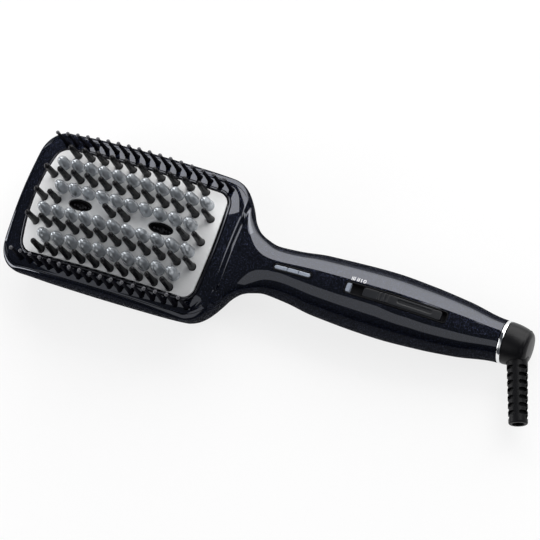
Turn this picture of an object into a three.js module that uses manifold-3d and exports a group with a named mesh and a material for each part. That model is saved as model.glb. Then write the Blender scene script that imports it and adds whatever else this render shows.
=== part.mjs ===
// Heated smoothing brush, lying on its back with the pins up. Millimetres, +Z up.
// While it is built, x = 0 and y = 0 are the middle of the heating plate, the handle runs
// along +X, and z = 0 is the surface that the brush lies on.
import * as THREE from "three";
import { mergeVertices } from "three/addons/utils/BufferGeometryUtils.js";
import Module from "manifold-3d";

const wasm = await Module();
wasm.setup();

// Fits
const fitGap = 0.3;
const sheetGap = 0.5;
const wall = 2.2;
const postSides = 10;

// Head
const plateTop = 40;
const domeRadiusX = 243.6;
const domeRadiusY = 96.2;
const headEndX = -64;
const headHalfWidth = 42;
const headCornerRadius = 13;
const headEndBow = 0.9;
const headSideBow = 1;
const headWidestZ = 25.5;
const creaseInset = 3.2;
const stripDrop = 0.7;
const skinDrop = 0.12;
const headEdgeRadius = 4.6;
const headTopRound = 2.2;
const splitDrop = 1.5;
const headBackRadius = 15;
const shoulderX = 57.5;

// Neck, handle and cord end
const neckX = 84;
const neckHalfWidth = 13.3;
const handleEndX = 212.8;
const gripX = (neckX + handleEndX) / 2 + 0.6;
const gripHalfWidth = 18;
const gripTop = 31.8;
const handleEndRadius = 11.3;
const handleEndZ = 12.6;

// Heating plate
const plateHalfLength = 52.8;
const stripWidth = 12;
const plateHalfWidth = headHalfWidth - stripWidth;
const plateCorner = 5.5;
const plateBow = 2.6;
const plateThickness = 1.2;
const surroundGap = 0.8;
const surroundWidth = 1.5;
const surroundDepth = 5.2;
const surroundLedge = 2;
const surroundDrop = 0.15;

// Pins and studs
const pinPitch = 8.5;
const rowMargin = 2.52;
const rowStep = (plateHalfWidth - rowMargin) / 4;
const pinHeight = 14.6;
const pinBaseRadius = 2;
const pinTipRadius = 1.55;
const pinRoot = 1;
const pinSides = 5;
const railHalfWidth = 1.3;
const railThickness = 3;
const studRadius = 3.1;
const studShift = 0.6;
const studSides = 6;
const studHeight = 10.4;
const studRoot = 0.9;

// Side combs
const combPins = 17;
const combPitch = 6.2;
const combInset = 5.8;
const combBow = 2.1;
const combHeight = 17.4;
const combFootRadius = 1.3;
const combNeckRadius = 0.8;
const combBallRadius = 1.05;
const combRailHalfWidth = 1;
const combRailThickness = 2;
const combRailSteps = 6;
const combEndMargin = 2;
const combSides = 4;

// Ion outlets
const outletX = 24;
const outletHalfLength = 7.2;
const outletHalfWidth = 3.3;
const outletY = 0.3;
const outletWall = 0.9;
const outletDepth = 3.4;
const outletDrop = 0.4;
const needleRadius = 0.6;
const needleBaseRadius = 1.5;
const needleBaseHeight = 0.6;
const needleHeight = 2.6;

// Inside the head
const carrierThickness = 2;
const heaterHalfLength = 41;
const heaterHalfWidth = 4.2;
const fuseRadius = 1.3;
const fuseLength = 12;
const sensorHalfLength = 2.5;
const sensorHalfWidth = 1.3;
const sensorHeight = 2.6;
const generatorHalfLength = 18;
const generatorHalfWidth = 9;
const generatorHeight = 11;
const postX = 40;
const postInset = 10;
const postY = plateHalfWidth - postInset;
const postRadius = 3;
const collarRadius = 5;
const collarTop = 19;
const shieldThickness = 0.8;
const shieldMargin = 7;
const screwHeadRadius = 2.7;
const screwHeadHeight = 1.8;
const screwShankRadius = 1.2;
const screwLength = 9;
const screwBite = 2.4;
const crossHalfLength = 1.6;
const crossHalfWidth = 0.4;
const crossDepth = 0.7;
const neckScrewX = neckX - 7.5;
const endScrewX = handleEndX - 17.8;
const screwSink = 1;

// Indicator window
const windowStartX = neckX + 3.3;
const windowEndX = windowStartX + 22.7;
const windowHalfWidth = 2;
const windowRim = 0.7;
const windowDepth = 2;
const lampPostRadius = 1.3;
const lampPostGap = 2.3;

// Sliding switch
const slotStartX = gripX - 20.6;
const slotEndX = gripX + 35.5;
const slotHalfWidth = 3.3;
const slotWall = 0.5;
const slotCorner = 1.7;
const slotFloor = 1;
const clearEndLength = 2.6;
const switchTopZ = 20;
const switchGrooveDepth = 2;
const switchEnd = 3;
const switchHalfWidth = 3.5;
const buttonStartX = gripX - 10.2;
const buttonEndX = gripX + 32.4;
const buttonTravel = 6.6;
const buttonSlope = -0.105;
const buttonFloorZ = 28.6;
const ridgeStart = 8.6;
const ridgePitch = 2.45;
const ridgeHeight = 0.45;
const ridgeHalfWidth = 0.5;
const buttonCorner = 1.2;
const stemHalfLength = 2;
const stemHalfWidth = 0.7;

// Boards in the handle
const boardStartX = gripX - 37;
const boardEndX = handleEndX - 22.8;
const boardHalfWidth = 9;
const boardThickness = 1.6;
const boardZ = 11;
const lampBoardZ = 24;
const lampBoardHalfWidth = 4;
const lampBoardThickness = 1;
const lampBoardMargin = 4;
const lampPitch = 6.6;
const lampHalfLength = 1.2;
const lampHalfWidth = 1;
const lampHeight = 1.8;
const padInset = 4;
const padRadius = 1.8;
const capacitorRadius = 4;
const capacitorHeight = 7.5;
const capacitorInset = 10;
const triacLength = 10;
const triacInset = 12;
const triacHalfWidth = 2.3;
const triacHeight = 9;
const triacTabHalfWidth = 0.7;
const triacTabTop = 11;
const endWall = 3;
const contactX = handleEndX - 12.8;
const contactZ = 4.4;
const contactLength = 5;
const contactHalfWidth = 3;
const contactGap = 0.4;

// Swivel and strain relief
const ringWidth = 1.9;
const ringBore = 8.4;
const capLength = 12.8;
const capEndRadius = 9.4;
const capWall = 1.8;
const coreRadius = 5;
const coreBore = 2.6;
const coreFlange = 1.2;
const bushWall = 1.2;
const bushFlange = 1.6;
const bushRim = 1.8;
const slipRingWall = 1.3;
const reliefX = handleEndX + 7.6;
const reliefAngle = 20;
const reliefRootRadius = 5.5;
const reliefEndRadius = 5.05;
const reliefStart = 6.2;
const reliefEnd = 41.8;
const reliefSlotPitch = 4;
const reliefSlots = 7;
const reliefFirstSlot = 12.4;
const reliefSlotDepth = 1.7;
const reliefSlotHalfLength = 1.05;
const reliefSlotHalfWidth = 2.7;
const cordHoleRadius = 3.1;
const cordHoleDepth = 3.4;

// Cutting shapes reach this high, above everything
const tall = 60;

// Solids

// A closed three.js geometry as a solid that can be joined and cut.
function solidOf(geometry) {
  const bare = geometry.clone();
  bare.deleteAttribute("normal");
  bare.deleteAttribute("uv");
  const merged = mergeVertices(bare, 1e-4);
  return new wasm.Manifold(
    new wasm.Mesh({
      numProp: 3,
      vertProperties: merged.attributes.position.array,
      triVerts: new Uint32Array(merged.index.array),
    }),
  );
}

function geometryOf(solid) {
  const mesh = solid.getMesh();
  const geometry = new THREE.BufferGeometry();
  geometry.setAttribute("position", new THREE.BufferAttribute(mesh.vertProperties, 3));
  geometry.setIndex(new THREE.BufferAttribute(mesh.triVerts, 1));
  const flat = geometry.toNonIndexed();
  flat.computeVertexNormals();
  return flat;
}

function join(solids) {
  return solids.reduce((all, next) => all.add(next));
}

// A solid skinned over closed rings of as many points each, with a flat cap at both ends.
function loft(rings) {
  const count = rings[0].length;
  const points = rings.flat();
  const faces = [];
  for (let i = 0; i + 1 < rings.length; i++) {
    for (let j = 0; j < count; j++) {
      const a = i * count + j;
      const b = i * count + ((j + 1) % count);
      faces.push(a, b, b + count, a, b + count, a + count);
    }
  }
  for (const end of [0, rings.length - 1]) {
    const middle = points.length;
    const sum = rings[end].reduce((total, p) => total.add(p), new THREE.Vector3());
    points.push(sum.divideScalar(count));
    for (let j = 0; j < count; j++) {
      const a = end * count + j;
      const b = end * count + ((j + 1) % count);
      faces.push(...(end === 0 ? [middle, b, a] : [middle, a, b]));
    }
  }
  const geometry = new THREE.BufferGeometry().setFromPoints(points);
  geometry.setIndex(faces);
  return solidOf(geometry);
}

// A solid under a surface z = top(x, y) over a plan outline: the outline's rim, and rings
// drawn in towards a centre line, so that a domed sheet gets enough points to be round.
function sheet(outline, fractions, top, bottom) {
  const layer = (height, share) =>
    outline.map((p) => {
      const x = p.x * share;
      const y = p.y * share;
      return new THREE.Vector3(x, y, height(x, y));
    });
  const lower = fractions.map((share) => layer(bottom, share));
  const upper = fractions.map((share) => layer(top, share)).reverse();
  return loft([...lower, ...upper]);
}

function box(x0, x1, y0, y1, z0, z1) {
  const geometry = new THREE.BoxGeometry(x1 - x0, y1 - y0, z1 - z0);
  geometry.translate((x0 + x1) / 2, (y0 + y1) / 2, (z0 + z1) / 2);
  return solidOf(geometry);
}

// A turned solid about a vertical axis; the profile is [radius, z] from bottom to top.
function turned(profile, sides, x = 0, y = 0) {
  const points = profile.map(([radius, z]) => new THREE.Vector2(radius, z));
  const geometry = new THREE.LatheGeometry(points, sides);
  geometry.rotateX(Math.PI / 2);
  geometry.translate(x, y, 0);
  return solidOf(geometry);
}

// A turned solid about the cord end's axis; the profile is [x, radius] from left to right.
function turnedAlongX(profile, sides) {
  const points = profile.map(([x, radius]) => new THREE.Vector2(radius, x));
  const geometry = new THREE.LatheGeometry(points, sides);
  geometry.rotateZ(-Math.PI / 2);
  geometry.translate(0, 0, handleEndZ);
  return solidOf(geometry);
}

// A plan shape pulled up from z0 to z1.
function prism(shape, z0, z1, curveSegments = 6) {
  const settings = { depth: z1 - z0, bevelEnabled: false, curveSegments };
  const geometry = new THREE.ExtrudeGeometry(shape, settings);
  geometry.translate(0, 0, z0);
  return solidOf(geometry);
}

// Plan shapes

function slotShape(x0, x1, halfWidth) {
  const shape = new THREE.Shape();
  shape.absarc(x1 - halfWidth, 0, halfWidth, -Math.PI / 2, Math.PI / 2);
  shape.absarc(x0 + halfWidth, 0, halfWidth, Math.PI / 2, (3 * Math.PI) / 2);
  return shape;
}

function rectShape(x0, x1, y0, y1, radius) {
  const shape = new THREE.Shape();
  shape.absarc(x1 - radius, y0 + radius, radius, -Math.PI / 2, 0);
  shape.absarc(x1 - radius, y1 - radius, radius, 0, Math.PI / 2);
  shape.absarc(x0 + radius, y1 - radius, radius, Math.PI / 2, Math.PI);
  shape.absarc(x0 + radius, y0 + radius, radius, Math.PI, (3 * Math.PI) / 2);
  return shape;
}

// The switch's opening in plan, drawn in by inset.
function switchShape(inset) {
  const half = slotHalfWidth - inset;
  return rectShape(slotStartX + inset, slotEndX - inset, -half, half, slotCorner - inset);
}

// The heating plate's outline, moved out by grow: its ends bow out towards the middle.
function plateOutline(grow) {
  const halfLength = plateHalfLength + grow;
  const halfWidth = plateHalfWidth + grow;
  const radius = plateCorner + grow;
  const cornerSteps = 3;
  const endSteps = 2;
  const quarter = [];
  for (let i = 0; i < endSteps; i++) {
    quarter.push([halfLength, (i / endSteps) * (halfWidth - radius)]);
  }
  for (let i = 0; i <= cornerSteps; i++) {
    const angle = (i / cornerSteps) * (Math.PI / 2);
    const x = halfLength - radius + radius * Math.cos(angle);
    quarter.push([x, halfWidth - radius + radius * Math.sin(angle)]);
  }
  for (const share of [0.62, 0.2]) {
    quarter.push([share * (halfLength - radius), halfWidth]);
  }
  const bowed = quarter.map(([x, y]) => {
    const bow = plateBow * (x / plateHalfLength) ** 2 * (y / plateHalfWidth) ** 2;
    return new THREE.Vector2(x - bow, y);
  });
  const mirrorX = bowed.map((p) => new THREE.Vector2(-p.x, p.y)).reverse();
  const upper = [...bowed, ...mirrorX];
  const lower = upper.map((p) => new THREE.Vector2(p.x, -p.y)).reverse();
  return [...upper, ...lower.slice(1, -1)];
}

function plateShape(grow) {
  return new THREE.Shape(plateOutline(grow));
}

// Surfaces

function dome(x, y) {
  return plateTop - x ** 2 / (2 * domeRadiusX) - y ** 2 / (2 * domeRadiusY);
}

// A smooth curve through [x, value] points that never overshoots them.
function curveThrough(points) {
  const slopes = points.map((p, i) => {
    if (i === 0 || i === points.length - 1) {
      return 0;
    }
    const [x0, v0] = points[i - 1];
    const [x1, v1] = p;
    const [x2, v2] = points[i + 1];
    const before = (v1 - v0) / (x1 - x0);
    const after = (v2 - v1) / (x2 - x1);
    return before * after <= 0 ? 0 : (2 * before * after) / (before + after);
  });
  return (x) => {
    if (x <= points[0][0]) {
      return points[0][1];
    }
    const i = points.findIndex((p) => p[0] >= x);
    if (i < 0) {
      return points[points.length - 1][1];
    }
    const [x0, v0] = points[i - 1];
    const [x1, v1] = points[i];
    const span = x1 - x0;
    const t = (x - x0) / span;
    const rise = (3 - 2 * t) * t * t;
    const start = t * (1 - t) * (1 - t) * span * slopes[i - 1];
    const stop = t * t * (t - 1) * span * slopes[i];
    return v0 + (v1 - v0) * rise + start + stop;
  };
}

const headHalfLength = -headEndX;

const sideWidth = curveThrough([
  [headEndX + headCornerRadius, headHalfWidth - headSideBow],
  [-headHalfLength / 2, headHalfWidth - 0.3],
  [0, headHalfWidth],
  [headHalfLength / 2, headHalfWidth - 0.3],
  [shoulderX - 9, headHalfWidth - headSideBow],
  [shoulderX - 4, headHalfWidth - 2.4],
  [shoulderX, headHalfWidth - 5],
  [shoulderX + 3, headHalfWidth - 8.5],
  [shoulderX + 5.3, neckHalfWidth + 16.6],
  [shoulderX + 8, neckHalfWidth + 11.5],
  [shoulderX + 11.5, neckHalfWidth + 6.8],
  [shoulderX + 14.5, neckHalfWidth + 4],
  [shoulderX + 18.5, neckHalfWidth + 2],
  [neckX, neckHalfWidth],
  [neckX + 12, neckHalfWidth + 0.8],
  [gripX - 37, gripHalfWidth - 1.6],
  [gripX, gripHalfWidth],
  [gripX + 21, gripHalfWidth - 1],
  [handleEndX - 21.8, gripHalfWidth - 3.2],
  [handleEndX, handleEndRadius],
]);

const widestZ = curveThrough([
  [headEndX, headWidestZ - 1.5],
  [-headHalfLength / 2, headWidestZ],
  [shoulderX, headWidestZ],
  [neckX - 8, 21.8],
  [neckX + 12, 19],
  [gripX - 21, 16.6],
  [gripX, gripTop - 16],
  [handleEndX - 21.8, handleEndZ + 0.7],
  [handleEndX, handleEndZ],
]);

// Height of the handle's top line, which meets the head's dome at the shoulder.
const spineZ = curveThrough([
  [shoulderX + 4, dome(shoulderX + 4, 0) - 3.2],
  [shoulderX + 13, 28.6],
  [neckX - 2, 29.8],
  [neckX + 16, 31.9],
  [gripX - 35, gripTop + 0.4],
  [gripX - 17, gripTop + 0.1],
  [gripX, gripTop],
  [gripX + 16, gripTop - 1.8],
  [gripX + 32, gripTop - 4.3],
  [handleEndX - 16.8, gripTop - 6.2],
  [handleEndX, handleEndZ + handleEndRadius],
]);

const undersideZ = curveThrough([
  [shoulderX - 16, 0],
  [shoulderX + 5, 4.4],
  [neckX - 6, 6.8],
  [neckX + 8, 6.5],
  [gripX - 37, 3.2],
  [gripX - 14, 0.2],
  [gripX, 0],
  [gripX + 31, 0.3],
  [handleEndX, handleEndZ - handleEndRadius],
]);

// 0 on the head, 1 on the handle.
function handleShare(x) {
  return THREE.MathUtils.smoothstep(x, shoulderX - 9, neckX - 2);
}

// One housing section at x, drawn in by inset: half width, edge radii and heights.
function sectionAt(x, width, inset) {
  const share = handleShare(x);
  const endGap = x - (headEndX + inset);
  const headTop = dome(x, 0) - stripDrop;
  const crownTop = x < shoulderX + 4 ? headTop : spineZ(x);
  const blendTop = THREE.MathUtils.lerp(headTop, crownTop, share);
  const topZ = (x < shoulderX + 4 ? blendTop : crownTop) - inset;
  const middleZ = widestZ(x);
  const topRound = Math.min(1, Math.max(0, endGap) / headTopRound);
  const backRound = Math.min(1, Math.max(0, endGap) / headBackRadius);
  const edge = THREE.MathUtils.lerp(Math.min(headEdgeRadius, 0.5 * width), 0.93 * width, share);
  const back = THREE.MathUtils.lerp(Math.min(headBackRadius, 0.8 * width), 0.9 * width, share);
  const crown = (1 - share) / (2 * domeRadiusY);
  const shoulderZ = topZ - crown * (width - edge) ** 2;
  const topScale = Math.sqrt(1 - (1 - topRound) ** 2);
  const backScale = Math.sqrt(1 - (1 - backRound) ** 2);
  return { width, topZ, middleZ, edge, back, crown, shoulderZ, topScale, backScale, inset };
}

// Right half of a section from its top middle to its underside middle, as [y, z].
function halfSection(x, section, detail) {
  const { width, topZ, middleZ, edge, back, crown, shoulderZ, inset } = section;
  const { topScale, backScale } = section;
  const floorZ = undersideZ(x) + inset;
  const points = [];
  for (let i = 0; i < detail.flat; i++) {
    const y = (i / detail.flat) * (width - edge);
    points.push([y, middleZ + (topZ - crown * y * y - middleZ) * topScale]);
  }
  for (let i = 0; i < detail.edge; i++) {
    const angle = (i / detail.edge) * (Math.PI / 2);
    const y = width - edge + edge * Math.sin(angle);
    points.push([y, middleZ + (shoulderZ - middleZ) * Math.cos(angle) * topScale]);
  }
  for (let i = 0; i <= detail.back; i++) {
    const angle = (i / detail.back) * (Math.PI / 2);
    const y = width - back + back * Math.cos(angle);
    points.push([y, middleZ - (middleZ - floorZ) * Math.sin(angle) * backScale]);
  }
  points.push([0, middleZ - (middleZ - floorZ) * backScale]);
  return points;
}

// Where the sections stand: the head's blunt end, its corners, and then along the brush.
function stations(inset, places) {
  const list = [];
  const radius = headCornerRadius - inset;
  const cornerX = headEndX + headCornerRadius;
  const cornerY = headHalfWidth - headSideBow - headCornerRadius;
  for (const share of [0.12, 0.45, 0.8]) {
    list.push([headEndX + inset + headEndBow * share ** 2, share * cornerY]);
  }
  for (const degrees of [8, 25, 42, 60, 76]) {
    const angle = THREE.MathUtils.degToRad(degrees);
    const across = (1 - Math.cos(angle)) * (radius - headEndBow);
    list.push([headEndX + inset + headEndBow + across, cornerY + radius * Math.sin(angle)]);
  }
  for (const x of places) {
    if (x > cornerX) {
      list.push([x, sideWidth(x) - inset]);
    }
  }
  return list;
}

// The whole brush body as one solid, drawn in by inset.
function bodySolid(inset, places, detail) {
  const rings = stations(inset, places).map(([x, width]) => {
    const half = halfSection(x, sectionAt(x, width, inset), detail);
    const right = half.map(([y, z]) => new THREE.Vector3(x, y, Math.max(z, inset)));
    const left = half.map(([y, z]) => new THREE.Vector3(x, -y, Math.max(z, inset)));
    return [...right, ...left.slice(1, -1).reverse()];
  });
  return loft(rings.map((ring) => ring.reverse()));
}

// Housings

function placesAlong(headStep, shoulderStep, handleStep, endX) {
  const places = [];
  for (let x = headEndX + headCornerRadius + 4; x < shoulderX - 8; x += headStep) {
    places.push(x);
  }
  for (let x = shoulderX - 6; x < neckX - 6; x += shoulderStep) {
    places.push(x);
  }
  for (let x = neckX - 4; x < endX - 4; x += handleStep) {
    places.push(x);
  }
  places.push(endX);
  return places;
}

const outerPlaces = placesAlong(20, 3.6, 13, handleEndX);
const innerPlaces = placesAlong(30, 3.6, 26, handleEndX - endWall);
const outerDetail = { flat: 3, edge: 4, back: 4 };
const innerDetail = { flat: 2, edge: 2, back: 3 };
const outerBody = bodySolid(0, outerPlaces, outerDetail);
const skinnedBody = bodySolid(skinDrop, outerPlaces, outerDetail);
const innerBody = bodySolid(wall, innerPlaces, innerDetail);
// The brush's plan inside the crease, from the head's blunt end to the neck.
function creasePrism(grow, bottomZ) {
  const inset = creaseInset - grow;
  const side = stations(inset, outerPlaces.filter((x) => x < neckX - 6));
  const upper = side.map(([x, width]) => new THREE.Vector2(x, width)).reverse();
  const lower = side.map(([x, width]) => new THREE.Vector2(x, -width));
  return prism(new THREE.Shape([...lower, ...upper]), bottomZ - grow, tall);
}

// Everything above the split along the handle's widest level.
function handleWedge(grow) {
  const endX = handleEndX + 20;
  const shape = new THREE.Shape();
  shape.moveTo(shoulderX - 8, -tall);
  shape.lineTo(shoulderX - 8, -plateTop);
  shape.lineTo(shoulderX, -widestZ(shoulderX) - 4 + grow);
  for (let x = shoulderX + 8; x < handleEndX; x += 8) {
    shape.lineTo(x, -widestZ(x) + grow);
  }
  shape.lineTo(endX, -handleEndZ + grow);
  shape.lineTo(endX, -tall);
  const width = 2 * headHalfWidth + 10;
  const geometry = new THREE.ExtrudeGeometry(shape, { depth: width, bevelEnabled: false });
  geometry.translate(0, 0, -width / 2);
  geometry.rotateX(-Math.PI / 2);
  return solidOf(geometry);
}

function frontRegion(grow) {
  return creasePrism(grow, headWidestZ - splitDrop).add(handleWedge(grow));
}

const headScrews = [-1, 1].flatMap((sx) => [-1, 1].map((sy) => [sx * postX, sy * postY]));
const handleScrews = [
  [neckScrewX, 0],
  [endScrewX, 0],
];
const railDrop = plateThickness + sheetGap;
const carrierDrop = railDrop + railThickness + fitGap;
const postTop = dome(postX + postRadius, postY + postRadius) - carrierDrop - carrierThickness - 1;
const shankHole = screwShankRadius + fitGap;
const headHole = screwHeadRadius + fitGap;

// Lowest z of a screw's head, sunk below the outside of the back.
function screwZ(x) {
  return undersideZ(x) + screwSink;
}

function screwTopZ(x) {
  return x < shoulderX ? postTop + fitGap + screwBite : screwZ(x) + screwHeadHeight + screwLength;
}

function screwHole(x, y) {
  const seatZ = screwZ(x) + screwHeadHeight + fitGap;
  const head = turned([[0, -5], [headHole, -5], [headHole, seatZ], [0, seatZ]], postSides, x, y);
  const topZ = screwTopZ(x) + fitGap;
  const shank = turned([[0, -5], [shankHole, -5], [shankHole, topZ], [0, topZ]], 8, x, y);
  return head.add(shank);
}

function post(x, y, radius, bottomZ, topZ) {
  return turned([[0, bottomZ], [radius, bottomZ], [radius, topZ], [0, topZ]], postSides, x, y);
}

function endBore() {
  const radius = coreRadius + bushWall + 2 * fitGap;
  const startX = handleEndX - 2 * endWall;
  const stopX = handleEndX + 5;
  return turnedAlongX([[startX, 0], [startX, radius], [stopX, radius], [stopX, 0]], 20);
}

function boardPads() {
  const pads = [];
  for (const x of [boardStartX + padInset, boardEndX - padInset]) {
    for (const side of [-1, 1]) {
      pads.push(post(x, side * (boardHalfWidth - padInset), padRadius, 0, boardZ - fitGap));
    }
  }
  const stop = contactX + contactLength;
  pads.push(box(contactX, stop, -contactHalfWidth, contactHalfWidth, 0, contactZ - fitGap));
  return pads;
}

function rearHousing() {
  const supports = [];
  for (const [x, y] of headScrews) {
    supports.push(post(x, y, postRadius, 0, postTop));
    supports.push(post(x, y, collarRadius, 0, collarTop));
  }
  for (const [x, y] of handleScrews) {
    const seatZ = screwZ(x) + screwHeadHeight + fitGap;
    supports.push(post(x, y, postRadius, 0, handleEndZ - fitGap));
    supports.push(post(x, y, collarRadius, 0, seatZ + wall));
  }
  supports.push(...boardPads());
  const inside = join(supports).intersect(outerBody);
  const cuts = [...headScrews, ...handleScrews].map(([x, y]) => screwHole(x, y));
  return outerBody
    .subtract(innerBody)
    .subtract(frontRegion(fitGap))
    .add(inside)
    .subtract(join(cuts))
    .subtract(endBore());
}

function frontHousing() {
  const window = plateShape(surroundGap + surroundWidth + fitGap);
  const lampPosts = [windowStartX - lampPostGap, windowEndX + lampPostGap].map((x) =>
    post(x, 0, lampPostRadius, lampBoardZ + lampBoardThickness + fitGap, tall),
  );
  const screwPosts = handleScrews.map(([x, y]) => post(x, y, postRadius, handleEndZ, tall));
  const supports = join([...lampPosts, ...screwPosts]).intersect(outerBody);
  const indicator = slotShape(windowStartX - fitGap, windowEndX + fitGap, windowHalfWidth + fitGap);
  const slot = switchShape(-fitGap);
  const holes = [
    prism(window, 0, tall),
    prism(indicator, handleEndZ, tall),
    prism(slot, handleEndZ, tall),
    combHoles(1),
    combHoles(-1),
    ...handleScrews.map(([x, y]) => screwHole(x, y)),
    endBore(),
  ];
  return outerBody
    .subtract(innerBody)
    .intersect(frontRegion(0))
    .subtract(join([prism(indicator, handleEndZ, tall), prism(slot, handleEndZ, tall)]))
    .add(supports)
    .subtract(join(holes));
}

// Plate and what lies under it

const sheetShares = [0.1, 0.4, 0.7, 1];

function domedSlab(grow, topDrop, bottomDrop) {
  const top = (x, y) => dome(x, y) - topDrop;
  const bottom = (x, y) => dome(x, y) - bottomDrop;
  return sheet(plateOutline(grow), sheetShares, top, bottom);
}

// A bar that follows the dome along X.
function domedBar(x0, x1, y, halfWidth, topDrop, thickness) {
  const steps = Math.max(1, Math.round((x1 - x0) / 14));
  const rings = [];
  for (let i = 0; i <= steps; i++) {
    const x = x0 + ((x1 - x0) * i) / steps;
    const left = dome(x, y - halfWidth) - topDrop;
    const right = dome(x, y + halfWidth) - topDrop;
    rings.push([
      new THREE.Vector3(x, y - halfWidth, left - thickness),
      new THREE.Vector3(x, y + halfWidth, right - thickness),
      new THREE.Vector3(x, y + halfWidth, right),
      new THREE.Vector3(x, y - halfWidth, left),
    ]);
  }
  return loft(rings);
}

// Pin rows from the side of the plate to the other: row number in lattice steps, and columns.
const pinRows = [
  { step: 4, columns: 10 },
  { step: 2, columns: 12 },
  { step: -2, columns: 12 },
  { step: -4, columns: 10 },
];
const centreGroups = [
  { name: "left", columns: [0, 1] },
  { name: "middle", columns: [5, 6] },
  { name: "right", columns: [10, 11] },
];
const studRows = [
  { step: 3, columns: 11, shift: 0 },
  { step: 1, columns: 10, shift: studShift },
  { step: -1, columns: 11, shift: 0 },
  { step: -3, columns: 10, shift: studShift },
];

function columnX(column, columns) {
  return (column - (columns - 1) / 2) * pinPitch;
}

function rowPins(row) {
  const y = row.step * rowStep;
  return Array.from({ length: row.columns }, (_, i) => [columnX(i, row.columns), y]);
}

function centrePins(group) {
  return group.columns.map((column) => [columnX(column, 12), 0]);
}

function ringAt(x, y, z, radius, sides) {
  return Array.from({ length: sides }, (_, i) => {
    const angle = (i / sides) * 2 * Math.PI;
    return new THREE.Vector3(x + radius * Math.cos(angle), y + radius * Math.sin(angle), z);
  });
}

// A hole's cutting shape with as many flat sides as the pin that goes through it.
function sidedHole(x, y, radius, sides) {
  return loft([ringAt(x, y, 0, radius, sides), ringAt(x, y, tall, radius, sides)]);
}

function pin(x, y) {
  const surface = dome(x, y);
  const topZ = surface + pinHeight;
  return loft([
    ringAt(x, y, surface - railDrop - pinRoot, railHalfWidth, pinSides),
    ringAt(x, y, surface, pinBaseRadius, pinSides),
    ringAt(x, y, topZ - pinTipRadius, pinTipRadius, pinSides),
    ringAt(x, y, topZ, 0.5 * pinTipRadius, pinSides),
  ]);
}

function pinStrip(pins) {
  const y = pins[0][1];
  const endGap = railHalfWidth + 0.5;
  const startX = pins[0][0] - endGap;
  const stopX = pins[pins.length - 1][0] + endGap;
  const rail = domedBar(startX, stopX, y, railHalfWidth, railDrop, railThickness);
  return join([rail, ...pins.map(([x, py]) => pin(x, py))]);
}

function stud(x, y) {
  const z = dome(x, y);
  const profile = [
    [0, z - studRoot],
    [studRadius, z - studRoot],
    [studRadius, z + 0.4 * studHeight],
    [0.9 * studRadius, z + 0.65 * studHeight],
    [0.6 * studRadius, z + 0.88 * studHeight],
    [0, z + studHeight],
  ];
  return turned(profile, studSides, x, y);
}

function outletShape(side, grow) {
  const shape = new THREE.Shape();
  const halfLength = outletHalfLength + grow;
  shape.absellipse(side * outletX, outletY, halfLength, outletHalfWidth + grow, 0, 2 * Math.PI);
  return shape;
}

function heatingPlate() {
  const studs = studRows.flatMap((row) =>
    Array.from({ length: row.columns }, (_, i) =>
      stud(columnX(i, row.columns) + row.shift, row.step * rowStep),
    ),
  );
  const pins = [...pinRows.flatMap(rowPins), ...centreGroups.flatMap(centrePins)];
  const holes = pins.map(([x, y]) => sidedHole(x, y, pinBaseRadius + fitGap, pinSides));
  const outlets = [-1, 1].map((side) => prism(outletShape(side, 0), 0, tall));
  const blank = domedSlab(0, 0, plateThickness);
  return blank.add(join(studs)).subtract(join([...holes, ...outlets]));
}

function plateSurround() {
  const ring = domedSlab(surroundGap + surroundWidth, surroundDrop, surroundDepth);
  const ledgeX = plateHalfLength - surroundLedge;
  const ledgeY = plateHalfWidth - 0.1;
  const through = prism(rectShape(-ledgeX, ledgeX, -ledgeY, ledgeY, plateCorner), 0, tall);
  const pocket = domedSlab(surroundGap, -5, plateThickness + fitGap);
  return ring.subtract(through).subtract(pocket);
}

function ionOutlet(side) {
  const body = prism(outletShape(side, -fitGap), 0, tall);
  const slab = domedSlab(0, outletDrop, carrierDrop - fitGap);
  const pocket = prism(outletShape(side, -fitGap - outletWall), 0, tall);
  const pocketSlab = domedSlab(0, -5, outletDepth);
  return body.intersect(slab).subtract(pocket.intersect(pocketSlab));
}

function ionNeedle(side) {
  const x = side * outletX;
  const z = dome(x, outletY) - outletDepth + fitGap;
  const profile = [
    [0, z],
    [needleBaseRadius, z],
    [needleBaseRadius, z + needleBaseHeight],
    [needleRadius, z + 1.5 * needleBaseHeight],
    [0, z + needleHeight],
  ];
  return turned(profile, 10, x, outletY);
}

function heaterCarrier() {
  const slab = domedSlab(-surroundLedge - fitGap, carrierDrop, carrierDrop + carrierThickness);
  const bosses = headScrews.map(([x, y]) => {
    const topZ = dome(x, y) - carrierDrop - carrierThickness / 2;
    return post(x, y, postRadius, postTop + fitGap, topZ);
  });
  const holes = headScrews.map(([x, y]) => screwHole(x, y));
  return join([slab, ...bosses]).subtract(join(holes));
}

function ceramicHeater(side) {
  const y = side * 3 * rowStep;
  return domedBar(-heaterHalfLength, heaterHalfLength, y, heaterHalfWidth, railDrop, railThickness);
}

function thermalFuse() {
  const y = -rowStep;
  const z = dome(0, y) - carrierDrop + fitGap + fuseRadius;
  const geometry = new THREE.CylinderGeometry(fuseRadius, fuseRadius, fuseLength, 10);
  geometry.rotateZ(Math.PI / 2);
  geometry.translate(0, y, z);
  return solidOf(geometry);
}

function temperatureSensor() {
  const y = rowStep;
  const z = dome(0, y) - carrierDrop + 2 * fitGap;
  const half = sensorHalfWidth;
  return box(-sensorHalfLength, sensorHalfLength, y - half, y + half, z, z + sensorHeight);
}

function heatShield() {
  const bottomZ = collarTop + fitGap;
  const halfX = postX + shieldMargin;
  const halfY = postY + shieldMargin;
  const holeRadius = postRadius + fitGap;
  const holes = headScrews.map(([x, y]) => post(x, y, holeRadius, 0, tall));
  const plate = box(-halfX, halfX, -halfY, halfY, bottomZ, bottomZ + shieldThickness);
  return plate.subtract(join(holes));
}

// Side combs

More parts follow.
